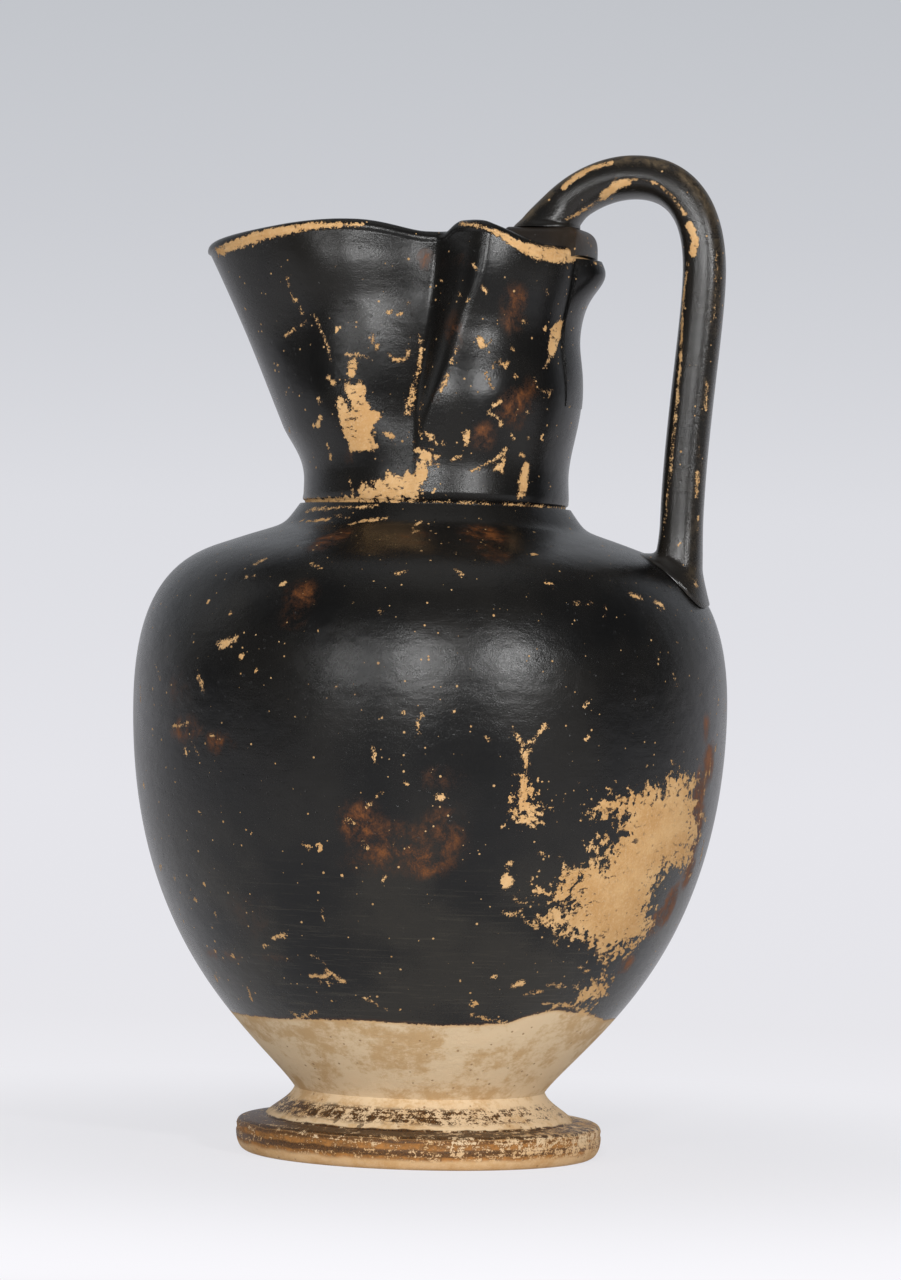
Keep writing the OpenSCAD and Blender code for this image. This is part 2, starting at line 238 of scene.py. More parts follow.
# worn black gloss over clay; "patch", "chip", "thin" and "bare" come with each mesh
def glossOverClay(name, look):
    finish, recipe = newFinish(name)
    spot = recipe.spot()
    torn = recipe.noise(spot, 0.55, 7.0, 0.68)
    fine = recipe.noise(spot, 2.6, 4.0, 0.6)
    broad = recipe.noise(spot, 0.045, 3.0, 0.5)
    islands = recipe.noise(spot, 0.21, 3.0, 0.6)
    patch = recipe.attribute("patch") + (torn - 0.5) * look["torn"] \
        + (islands - 0.5) * look["torn"] * 0.35 + (fine - 0.5) * 1.2
    chip = recipe.attribute("chip") + (fine - 0.5) * look["fray"] + (torn - 0.5) * look["fray"] * 1.3 - 0.10
    bare = recipe.attribute("bare") + (fine - 0.5) * 1.0 + (torn - 0.5) * 1.4
    # loose specks: a few large, more small, each cell drawing its own size
    near, pick = recipe.cells(spot * (1.0, 1.0, 0.8) + recipe.noise(spot, 0.9, 3.0) * 3.4, 0.19)
    size = (pick.part("X") ** 5.0) * look["speck"] + 0.012
    speck = (size - near + (fine - 0.5) * 0.12) * pick.part("Y").rise(0.25, 0.27)
    tiny, draw = recipe.cells(spot, 0.62)
    dust = draw.part("X") ** 3.0 * 0.19 + 0.01 - tiny + (fine - 0.5) * 0.10
    dust = dust * draw.part("Y").rise(0.20, 0.25)
    # scraps of gloss left standing inside the larger losses
    scraps = recipe.noise(spot * (0.7, 0.7, 1.4), 0.62, 6.0, 0.70).rise(0.575, 0.60) \
        * islands.rise(0.44, 0.54) * 0.92
    lost = patch.rise(-0.12, 0.12) * (1.0 - scraps * recipe.attribute("patch").rise(9.0, 4.0))
    lost = lost.over(chip.rise(-0.1, 0.1) * (1.0 - scraps)).over(bare.rise(-0.12, 0.12))
    lost = lost.over(speck.rise(0.0, 0.012)).over(dust.rise(0.0, 0.02) * look["dust"])
    # thin gloss: red-brown where the slip was washed out
    thin = recipe.attribute("thin")
    rubbed = recipe.noise(spot * (1.0, 1.0, 0.8), 0.28, 6.0, 0.72, 0.4)
    brown = (thin * (rubbed * 2.6 - 0.75 + (fine - 0.5) * 1.2)).rise(0.05, 0.95)
    edge = recipe.attribute("bare") + (torn - 0.5) * 1.4
    rimOfLoss = (edge.rise(-0.7, -0.1) * edge.rise(0.5, 0.1)).over(patch.rise(-1.1, 0.1) * 0.5)
    rimOfLoss = rimOfLoss.over(chip.rise(-0.45, 0.1) * 0.35)
    wheel = recipe.noise(spot * (0.03, 0.03, 1.0), 2.4, 5.0, 0.75)
    wheelShow = wheel.rise(0.52, 0.7) * look["wheel"] * spot.part("Z").rise(80.0, 52.0)
    colour = recipe.tint(broad.rise(0.3, 0.7), look["gloss"], look["glossWarm"])
    # painted floor reflection with dust: towards the bottom of the body the gloss colour is lightened
    # grey-brown
    low = broad.rise(0.35, 0.6) * look["wheel"] * spot.part("Z").rise(92.0, 58.0)
    colour = recipe.tint(low * 0.22, colour, look["wheelAndFloorSheenTint"])
    colour = recipe.tint(wheelShow * 0.6, colour, look["wheelAndFloorSheenTint"])
    colour = recipe.tint(brown * look["brown"], colour,
                         recipe.tint(rubbed.rise(0.35, 0.7), look["brownDeep"], look["brownLight"]))
    colour = recipe.tint(rimOfLoss * 0.6, colour, look["brownDeep"])
    earth, pit = clayColour(recipe, recipe.attribute("bare").rise(-0.5, 1.0))
    colour = recipe.tint(lost, colour, earth)
    roughness = blend(look["satin"] + (broad - 0.5) * 0.16 + (fine - 0.5) * 0.10 + brown * 0.34, 0.72, lost)
    pores = recipe.noise(spot, 3.4, 2.0, 0.5)
    swell = recipe.noise(spot * (1.0, 1.0, 1.6), 0.16, 3.0, 0.5)
    height = pores * look["pores"] + fine * 0.012 + wheel * look["wheelDepth"] \
        - lost * look["loss"] - pit * 0.06 + lost * (fine * 0.07 + torn * 0.16)
    normal = recipe.bump(height, 1.0, 1.0, recipe.bump(swell, look["swell"], 1.0))
    return closeFinish(finish, recipe, colour, roughness, normal,
                       {"IOR": look["ior"], "Specular IOR Level": look["sheen"]})


gloss = {
    "gloss": (0.0035, 0.0035, 0.0036), "glossWarm": (0.009, 0.0082, 0.0072),
    # the wheel-line tint also colours the painted floor sheen low on the body
    "wheelAndFloorSheenTint": (0.080, 0.070, 0.052), "brownDeep": (0.050, 0.016, 0.005),
    "brownLight": (0.22, 0.070, 0.013),
    "torn": 25.0, "fray": 2.2, "speck": 0.17, "dust": 0.8, "brown": 0.85, "loss": 0.05,  # how it is worn
    # wheel also sets how strongly the lower body takes the painted floor sheen
    "wheel": 0.6, "wheelDepth": 0.02, "pores": 0.042, "swell": 0.18,  # lines and unevenness of the surface
    "satin": 0.275, "ior": 1.45, "sheen": 0.34,
}


def putInScene(name, data):
    thing = bpy.data.objects.new(name, data)
    bpy.context.scene.collection.objects.link(thing)
    return thing


# a lathe in Geometry Nodes: the profile's points are carried round the axis on a grid of
# columns and rows, with the columns closer together on one side
def turnOnWheel(name, profile, finish, columns, closeSide=nearSide, gather=0.35):
    mesh = bpy.data.meshes.new(name)
    mesh.from_pydata([(r * mm, 0.0, z * mm) for r, z in profile],
                     [(i, i + 1) for i in range(len(profile) - 1)], [])
    blank = putInScene(name + "Profile", mesh)
    tree = bpy.data.node_groups.new(name + "Wheel", "GeometryNodeTree")
    for label, kind in (("Geometry", "Geometry"), ("Columns", "Int"), ("Close Side", "Float"),
                        ("Gather", "Float"), ("Clay", "Material")):
        tree.interface.new_socket(name=label, in_out="INPUT", socket_type="NodeSocket" + kind)
    tree.interface.new_socket(name="Geometry", in_out="OUTPUT", socket_type="NodeSocketGeometry")
    recipe = Recipe(tree)
    given = recipe.node("NodeGroupInput", {}, {})
    size = recipe.node("GeometryNodeAttributeDomainSize", {"component": "MESH"},
                       {0: given.outputs["Geometry"]})
    rows = Field(recipe, size.outputs["Point Count"])
    across = Field(recipe, given.outputs["Columns"]) + 1.0
    grid = recipe.node("GeometryNodeMeshGrid", {}, {"Size X": 1.0, "Size Y": 1.0, "Vertices X": across,
                                                    "Vertices Y": rows})
    spot = Field(recipe, recipe.node("GeometryNodeInputPosition", {}, {}).outputs[0], True)
    turn, row = spot.part("X") + 0.5, (spot.part("Y") + 0.5) * (rows - 1.0)
    index = recipe.node("ShaderNodeMath", {"operation": "ROUND"}, {0: row})
    place = recipe.node("GeometryNodeInputPosition", {}, {})
    pick = recipe.node("GeometryNodeSampleIndex", {"data_type": "FLOAT_VECTOR", "domain": "POINT"},
                       {"Geometry": given.outputs["Geometry"], "Value": place.outputs[0],
                        "Index": index.outputs[0]})
    point = Field(recipe, pick.outputs[0], True)
    full = 2 * math.pi
    angle = (turn + (turn * full).wave() * Field(recipe, given.outputs["Gather"]) * (1 / full) - 0.5) * full
    angle = angle + Field(recipe, given.outputs["Close Side"]) * (math.pi / 180)
    cosine = Field(recipe, recipe.node("ShaderNodeMath", {"operation": "COSINE"}, {0: angle}).outputs[0])
    radius = point.part("X")
    put = recipe.node("ShaderNodeCombineXYZ", {}, {0: radius * cosine, 1: radius * angle.wave(),
                                                   2: point.part("Z")})
    moved = recipe.node("GeometryNodeSetPosition", {}, {"Geometry": grid.outputs[0],
                                                        "Position": put.outputs[0]})
    closed = recipe.node("GeometryNodeMergeByDistance", {}, {"Geometry": moved.outputs[0],
                                                             "Distance": 0.02 * mm})
    real = recipe.node("GeometryNodeRealizeInstances", {}, {0: closed.outputs[0]})
    dressed = recipe.node("GeometryNodeSetMaterial", {}, {"Geometry": real.outputs[0],
                                                          "Material": given.outputs["Clay"]})
    recipe.node("NodeGroupOutput", {}, {0: dressed.outputs[0]})
    wheel = blank.modifiers.new("wheel", "NODES")
    wheel.node_group = tree
    values = {"Columns": columns, "Close Side": closeSide, "Gather": gather, "Clay": finish}
    for item in tree.interface.items_tree:
        if item.in_out == "INPUT" and item.name in values:
            wheel[item.identifier] = values[item.name]
    ready = blank.evaluated_get(bpy.context.evaluated_depsgraph_get())
    turned = bpy.data.meshes.new_from_object(ready)
    bpy.data.objects.remove(blank, do_unlink=True)
    return finishPiece(name, turned, finish, 35)


def outward(mesh):
    n = len(mesh.loop_triangles)
    corners = np.empty(n * 3, np.int32)
    mesh.loop_triangles.foreach_get("vertices", corners)
    at = spots(mesh)[corners.reshape(-1, 3)]
    return np.einsum("ij,ij->i", at[:, 0], np.cross(at[:, 1], at[:, 2])).sum() > 0


def spots(mesh):
    co = np.empty(len(mesh.vertices) * 3)
    mesh.vertices.foreach_get("co", co)
    return co.reshape(-1, 3)


def finishPiece(name, mesh, finish, crease):
    mesh.calc_loop_triangles()
    if not outward(mesh):
        mesh.flip_normals()
    mesh.shade_smooth()
    mesh.set_sharp_from_angle(angle=math.radians(crease))
    mesh.materials.clear()
    mesh.materials.append(finish)
    mesh.name = name
    print(name, len(mesh.vertices), "points")
    return putInScene(name, mesh)


# a skin over rings of points: loopRows joins the last ring to the first, capEnds fans each end shut
def skin(name, rows, finish, crease, loopRows=False, capEnds=False):
    rows = [np.array(r, float) for r in rows]
    m, n = len(rows), len(rows[0])
    points = np.concatenate(rows) * mm
    faces = []
    for j in range(m if loopRows else m - 1):
        a0, b0 = j * n, (j + 1) % m * n
        for i in range(n):
            k = (i + 1) % n
            faces.append((a0 + i, a0 + k, b0 + k, b0 + i))
    if capEnds:
        points = np.concatenate([points, [rows[0].mean(0) * mm], [rows[-1].mean(0) * mm]])
        faces += [((i + 1) % n, i, m * n) for i in range(n)]
        faces += [((m - 1) * n + i, (m - 1) * n + (i + 1) % n, m * n + 1) for i in range(n)]
    mesh = bpy.data.meshes.new(name)
    mesh.from_pydata([tuple(p) for p in points], [], faces)
    return finishPiece(name, mesh, finish, crease)


# wear fields, in millimetres inside the edge of each mark
far = -8.0


def angleOf(at):
    return np.degrees(np.arctan2(at[:, 1], at[:, 0]))


def strokeField(at, ends):
    field = np.full(len(at), far)
    for a, b, half in ends:
        a, b = np.array(a), np.array(b)
        near = np.abs(at - (a + b) / 2).max(1) < np.abs(a - b).max() / 2 + 9
        p = at[near]
        way = b - a
        t = np.clip(((p - a) @ way) / max(1e-9, way @ way), 0, 1)
        away = np.linalg.norm(p - a - t[:, None] * way, axis=1)
        field[near] = np.maximum(field[near], half - away)
    return field


def flatField(u, v, outline):
    line = np.array(outline, float)
    away, odd = np.full(len(u), 1e9), np.zeros(len(u), bool)
    for a, b in zip(line, np.roll(line, -1, axis=0)):
        way = b - a
        t = np.clip(((u - a[0]) * way[0] + (v - a[1]) * way[1]) / max(1e-9, way @ way), 0, 1)
        away = np.minimum(away, np.hypot(u - a[0] - t * way[0], v - a[1] - t * way[1]))
        over = (a[1] > v) != (b[1] > v)
        odd ^= over & (u < a[0] + way[0] * (v - a[1]) / (way[1] if way[1] else 1e-9))
    return np.clip(np.where(odd, away, -away), far, -far)


def turnGap(a, b):
    return (a - b + 180) % 360 - 180


def outlineField(at, outlines, radius):
    angle, field = angleOf(at), np.full(len(at), far)
    for outline in outlines:
        middle = np.mean([p[0] for p in outline])
        arc = math.radians(1) * radius
        edge = [((a - middle) * arc, z) for a, z in outline]
        field = np.maximum(field, flatField(turnGap(angle, middle) * arc, at[:, 2], edge))
    return field


def cloudField(at, clouds, radius):
    angle, field = angleOf(at), np.zeros(len(at))
    for a, z, wide, tall, much in clouds:
        u = turnGap(angle, a) * math.radians(1) * radius / wide
        field = np.maximum(field, much * np.exp(-(u * u + ((at[:, 2] - z) / tall) ** 2) ** 1.5 * 0.7))
    return field


def keepField(piece, name, values):
    layer = piece.data.attributes.new(name, "FLOAT", "POINT")
    layer.data.foreach_set("value", np.ascontiguousarray(values, np.float32))


# the four wear fields of a glossed piece; one that isn't given is far from any mark
def keepWear(piece, chip, thin, patch=far, bare=far):
    for name, values in (("chip", chip), ("thin", thin), ("patch", patch), ("bare", bare)):
        keepField(piece, name, np.broadcast_to(values, len(piece.data.vertices)))


def ready(piece, node, slot):
    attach(piece, "root")
    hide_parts(node)


# body: ovoid with a flat shoulder, turned on the wheel
body = {
    "lower": [(30, 15.4), (37.8, 26.6), (71.35, 46.7), (71.35, 107.4)],
    "upper": [(71.35, 107.4), (71.35, 139.7), (56.5, 143.06), (48.5, 145.9)],
    "turn": [(48.5, 145.9), (35.2, 150.64), (37.06, 148.52), (32.5, 155)],
    "under": [(0, 12.6), (8.64, 12.6), (17.28, 13.8), (21.6, 15.4)],
    "wall": 4.6, "seat": 29.6, "throat": 27.5, "lap": 1.5, "floorTop": 18.8, "floorWide": 15.12,
    "collarTop": 155.0, "throatLow": 148.3, "throatHigh": 153.5,
    "spacing": 0.95, "columns": 452, "uneven": 0.30, "unevenBetween": (18, 152),
    # marks are angles and heights; at these radii their angles are turned into millimetres
    "patchRadius": 68, "markRadius": 69,
    "edge": [
        (-180, 34.2), (-151.6, 33.3), (-126, 33.5), (-108, 34.2), (-93.8, 34.8), (-81.3, 34.5),
        (-68.9, 34.1), (-59.8, 34.4), (-50.4, 34.8), (-44, 36.8), (-36.5, 37.9), (-26.4, 36.9),
        (-8.6, 34.4), (20, 33.6), (60, 34.6), (110, 33.8), (150, 34.6), (180, 34.2)],
    "patches": [
        [(-42.6, 85.9), (-38.6, 87.8), (-34.3, 87.1), (-30.7, 89.4), (-25.8, 90), (-22.3, 92.2),
         (-17.3, 93.3), (-13.6, 91.8), (-14.2, 88.9), (-10.2, 87.5), (-10, 83.1), (-5.9, 78.3),
         (-9.6, 76.7), (-5.6, 74.2), (-9.1, 71.7), (-17.6, 72.3), (-18.7, 68.9), (-21.2, 67.2),
         (-19.9, 62.5), (-14.8, 57.7), (-18.1, 53.7), (-24.8, 52.7), (-29.6, 51.7), (-35.4, 54.2),
         (-38.2, 56), (-43, 56.6), (-45.4, 58.4), (-49.7, 59.3), (-48.1, 61.3), (-43, 60.7), (-41.7, 63),
         (-47.5, 65), (-52.4, 66.4), (-48, 67.6), (-46.2, 69.8), (-42.3, 70.4), (-40.6, 72.7),
         (-36.8, 73.5), (-40.4, 76.1), (-34, 77.8), (-33.5, 82.3), (-35.8, 84.6), (-40.4, 83.5)],
        [(-58.7, 87.7), (-57.3, 90), (-56.9, 92.3), (-55.6, 90), (-54.3, 89), (-53.6, 86.2), (-51.8, 85.4),
         (-53.9, 84.5), (-55.1, 82.8), (-56.9, 83.1), (-58.2, 85.5)],
        [(-32, 42.9), (-27.5, 43.9), (-22.5, 44.4), (-20.1, 42.5), (-22.1, 40.4), (-28.6, 39.8),
         (-31.5, 41.1)]],
    "flakes": [
        [(-59.9, 69.7), (-58.8, 70.9), (-57.2, 69.5), (-57, 67.5), (-58.5, 66.7), (-59.8, 67.5)],
        [(-120.3, 121.4), (-117, 122.2), (-114.3, 123.1), (-114.6, 121.6), (-116.3, 120.6),
         (-118.3, 119.4), (-119.5, 120.3)],
        [(-73.8, 88.1), (-72.2, 88.7), (-71, 88.1), (-72, 87), (-73.3, 86.7)]],
    "strokes": [
        (-56.8, 92, -56.7, 96.7, .59), (-56.7, 96.7, -57.8, 100, .59), (-57.8, 100, -59.5, 103.3, .47),
        (-57.8, 100, -55.2, 101.2, .41), (-55.6, 100.6, -53.3, 104.6, .47), (-56.7, 97.8, -56, 99.2, .47),
        (-59.4, 86.1, -58.2, 85.7, .47), (-59.1, 72.6, -58.2, 72.9, .47), (-56.7, 64.7, -54.4, 63.5, .47),
        (-58.7, 61.4, -55.6, 60.7, .41), (-54.7, 61.8, -53, 59.5, .47), (-50.8, 60.7, -48, 59.3, .53),
        (-51.5, 59.5, -50, 57.8, .47), (-48, 74.4, -45.3, 71, .47), (-52.4, 75.5, -50.7, 74.4, .41),
        (-43, 77.8, -41.5, 75.5, .47), (-7.3, 93.4, -6.9, 88.8, .59), (-5.1, 96.8, -5.2, 93.4, .47),
        (-1.9, 100.2, -3.8, 97.9, .35), (-7.2, 84.2, -2.4, 82.3, .59), (-.1, 76.9, 2.2, 72.2, .59),
        (-4, 68.9, -1.2, 70, .47), (-20.9, 49.7, -19.2, 51.4, .59), (-16.2, 48.3, -16.6, 47.1, .35),
        (-52.3, 44.1, -50.3, 44.6, .82), (-48.2, 42, -44.2, 42.5, .47), (-42.9, 44.3, -37.4, 43.6, .47),
        (-41.9, 39.5, -38.7, 39.5, .35), (-35.5, 48.3, -31.6, 47, .47), (-30.1, 50, -25.8, 48.6, .47),
        (-61.4, 36.9, -50.6, 34.8, .41), (-50.5, 34.5, -41.8, 35.6, .41), (-41.8, 35.6, -39.3, 37.3, .47),
        (-39.3, 37.3, -36.2, 39.4, .47), (-36.2, 39.4, -28.7, 38, .59), (-28.7, 38, -17, 35.1, .7),
        (-124.1, 113, -122.2, 110.3, .47), (-122.9, 111.7, -123.8, 112.5, .59),
        (-120.2, 100.2, -117.6, 99.2, .35), (-132.6, 101.5, -128.6, 102.1, .35),
        (-125.9, 98.6, -123.8, 95.3, .23), (-141.1, 116.3, -137.8, 112.4, .35),
        (-150.2, 110.4, -148.3, 106, .47), (-129.1, 101.6, -127, 102.5, .35),
        (-76.3, 107, -77.2, 104.5, .35), (-77.2, 104.5, -77, 101.9, .29), (-85.5, 98.3, -84.6, 94.8, .29),
        (-86.4, 85.2, -85.7, 85.6, .35), (-110.4, 53.5, -106.8, 54.5, .47),
        (-114, 51.3, -112.8, 51.8, .47), (-96.6, 60.8, -96.8, 58, .23), (-103.2, 44.7, -98.4, 45.3, .47),
        (-98.5, 46.4, -94.3, 43.9, .47), (-100.9, 43.6, -94.9, 43.9, .35), (-101.6, 50, -98.5, 48.4, .29),
        (-126.8, 40.9, -128.1, 37.3, .35), (-89.9, 40.3, -84.4, 37.6, .35),
        (-113.9, 35.8, -112.2, 34.6, .47), (-112.5, 34.2, -105.3, 36.3, .41),
        (-140, 43.5, -143.7, 40.9, .29), (-117.9, 139.5, -116.2, 140.9, .47),
        (-102.9, 140.2, -99.8, 139.1, .41), (-83.4, 138, -80.7, 138.8, .35),
        (-70.5, 139.7, -69.2, 138.4, .47), (-107.5, 135.1, -106.8, 135.5, .47),
        (-117.7, 136.8, -115.4, 136.6, .35), (-82.6, 149.3, -80.4, 150.6, .47),
        (-79.8, 148.8, -81.8, 148, .35), (-30.2, 135.1, -27.3, 134.2, .7), (-23, 133.4, -20.9, 132.8, .7),
        (-22, 132.7, -22.5, 131.4, .35), (-45.8, 132.5, -44.6, 132.7, .41),
        (-50.9, 137.1, -49.9, 136.7, .41), (-38, 132.8, -39.5, 129.4, .29),
        (-42.9, 132.5, -41.6, 133, .35), (-22.7, 117.7, -21.3, 115.2, .29),
        (-22.7, 113.5, -20.8, 114.3, .23), (-11.9, 112.7, -12.4, 110.7, .35),
        (-85.1, 129.4, -84.7, 129.2, .35), (-118, 128.3, -117.4, 128, .47),
        (-92.9, 111.7, -92.5, 111.9, .35), (-80, 106.5, -79.6, 106.7, .35),
        (-70.9, 107.2, -70.6, 107.4, .35), (-79.5, 90.7, -78.8, 90.3, .35),
        (-64.5, 101.2, -63.9, 101, .35), (-46, 91.5, -45.6, 91.8, .41), (-84.5, 87.5, -83.6, 88.1, .23),
        (-140.5, 66.1, -140.5, 65.3, .29), (-148.8, 68.3, -149.4, 66.5, .23),
        (-127, 56.2, -126.6, 58.2, .23), (-133.6, 61.2, -132.9, 60.9, .47),
        (-81.3, 76.5, -80.8, 75.9, .29), (-99.5, 75.7, -98, 74.9, .41), (-87.4, 76.8, -86.5, 75.5, .47),
        (-90.7, 81.7, -88.8, 81, .47), (-83.7, 67.9, -82.7, 69.1, .29),
        (-138.8, 152.8, -122.6, 153.5, .53), (-122.6, 153.5, -107.1, 153.7, .36),
        (-107.1, 153.7, -99, 154.5, .31), (-130.6, 150.3, -119.6, 150.8, .62),
        (-137.2, 150, -134.6, 151.1, .27), (-107.5, 149.6, -102.6, 150.5, .36),
        (-102.6, 150.5, -94.1, 151.3, .49), (-118.3, 151.8, -110.3, 151.4, .22),
        (-82, 148.6, -80.3, 148.4, .36), (-89.5, 147.1, -88.4, 146.8, .27)],
    "thin": [
        (-87.8, 81.2, 4.7, 4.7, 1), (-75.5, 72.7, 4.9, 3.5, 1), (-81.3, 77, 7, 4.7, .7),
        (-71.9, 78.5, 5.3, 7, .6), (-85.1, 72.4, 7, 3.5, .5), (-102.1, 132.6, 4, 3.1, .9),
        (-102.7, 128.1, 3.5, 3.5, .5), (-105, 145.9, 4.9, 2.6, 1), (-58.7, 147.8, 8.5, 2.3, 1),
        (-60.4, 144.5, 4.7, 3.1, .6), (-81.2, 146.9, 7, 2.3, .4), (-127.5, 100.8, 5.9, 3.5, .7),
        (-118.2, 98.3, 4.7, 2.6, .6), (-130.2, 109.8, 4.7, 4.7, .35), (-116.4, 58.3, 8.2, 5.9, .3),
        (-130.7, 48.1, 10.6, 1.6, .6), (-112.9, 48.7, 7, 1.2, .4), (-6.4, 95.7, 3.5, 4.7, 1),
        (-9.5, 87.7, 3.1, 7, 1), (-6.6, 79.5, 3.3, 5.9, 1), (-5.2, 70.1, 3.1, 3.5, 1),
        (-10, 62.1, 3.5, 4.7, 1), (-13.4, 58.8, 3.1, 3.5, .9), (-18.6, 48.4, 3.5, 2.3, .6),
        (-9.2, 103.8, 2.3, 3.5, .5), (-72.3, 91.8, 5.9, 3.1, .4)],
}


def bodyProfile():
    wall, near = body["wall"], body["spacing"]
    low, up, turn = body["lower"], body["upper"], body["turn"]
    outside = joinRuns(evenBezier(body["under"], 3), walkLine([body["under"][-1], low[0]], 3),
                       evenBezier(low, near), evenBezier(up, near), evenBezier(turn, near * 0.8),
                       [(body["seat"], body["collarTop"]), (body["seat"], body["collarTop"] - body["lap"])])
    half = inside(turn, 0.5, wall)[0]
    throat = [tuple(half), (body["throat"] + 3.6, body["throatLow"] - 1), (body["throat"], body["throatLow"]),
              (body["throat"], body["throatHigh"])]
    start, first = inside(low, 0.06, wall)[0], inside(low, 0.12, wall)[0]
    bottom = [(0, body["floorTop"]), (body["floorWide"], body["floorTop"]), tuple(start - [3.5, 2.4]),
              tuple(first)]
    within = joinRuns(bezier(throat, np.linspace(1, 0, 5)), inside(turn, np.linspace(0.42, 0, 4), wall),
                      inside(up, np.linspace(0.94, 0, 9), wall),
                      inside(low, np.linspace(0.97, 0.12, 12), wall), bezier(bottom, np.linspace(0.9, 0, 6)))
    measure = joinRuns(*(evenBezier(curve, 1) for curve in (low, up, turn)))
    return np.concatenate([outside, within]), measure


bodyLine, bodyOutside = bodyProfile()


def bodyRadius(z):
    return np.interp(z, bodyOutside[:, 1], bodyOutside[:, 0])


def onBody(a, z):
    r = float(bodyRadius(z))
    return (r * math.cos(math.radians(a)), r * math.sin(math.radians(a)), z)


# the hand-thrown wall is never quite round: a slow inward give that dies out at the joints
def softenRound(piece, depth, lowZ, highZ):
    at = spots(piece.data) / mm
    a, z, r = np.radians(angleOf(at)), at[:, 2], np.hypot(at[:, 0], at[:, 1])
    give = 0.5 + 0.25 * np.sin(2 * a + 0.6 + z / 60) + 0.15 * np.sin(3 * a - z / 37) \
        + 0.1 * np.sin(z / 9.5 + a)
    give *= depth * easeStep(z, lowZ, lowZ + 14) * (1 - easeStep(z, highZ - 14, highZ))
    scale = np.where(r > 1, (r - give) / np.maximum(r, 1), 1)
    at[:, 0] *= scale
    at[:, 1] *= scale
    piece.data.vertices.foreach_set("co", (at * mm).ravel())
    piece.data.update()


def makeBody():
    piece = turnOnWheel("jugBody", bodyLine, glossOverClay("bodyGloss", gloss), body["columns"])
    softenRound(piece, body["uneven"], *body["unevenBetween"])
    at = spots(piece.data) / mm
    angle, z = angleOf(at), at[:, 2]
    outer = np.hypot(at[:, 0], at[:, 1]) > bodyRadius(z) - 1.5
    patch = outlineField(at, body["patches"], body["patchRadius"])
    chip = np.maximum(outlineField(at, body["flakes"], body["markRadius"]),
                      strokeField(at, [(onBody(a, b), onBody(c, d), w) for a, b, c, d, w in body["strokes"]]))
    edge = np.interp(angle, *zip(*body["edge"]))
    thin = cloudField(at, body["thin"], body["markRadius"]) \
        * (1 + 0.9 * easeStep(turnGap(angle, nearSide), 22, 48))
    keepWear(piece, chip=np.where(outer, chip, far), thin=np.where(outer, thin, 0.0),
             patch=np.where(outer, patch, far), bare=np.where(outer, np.clip(edge - z, far, 8), 6.0))
    ready(piece, "body", "body")
    return piece


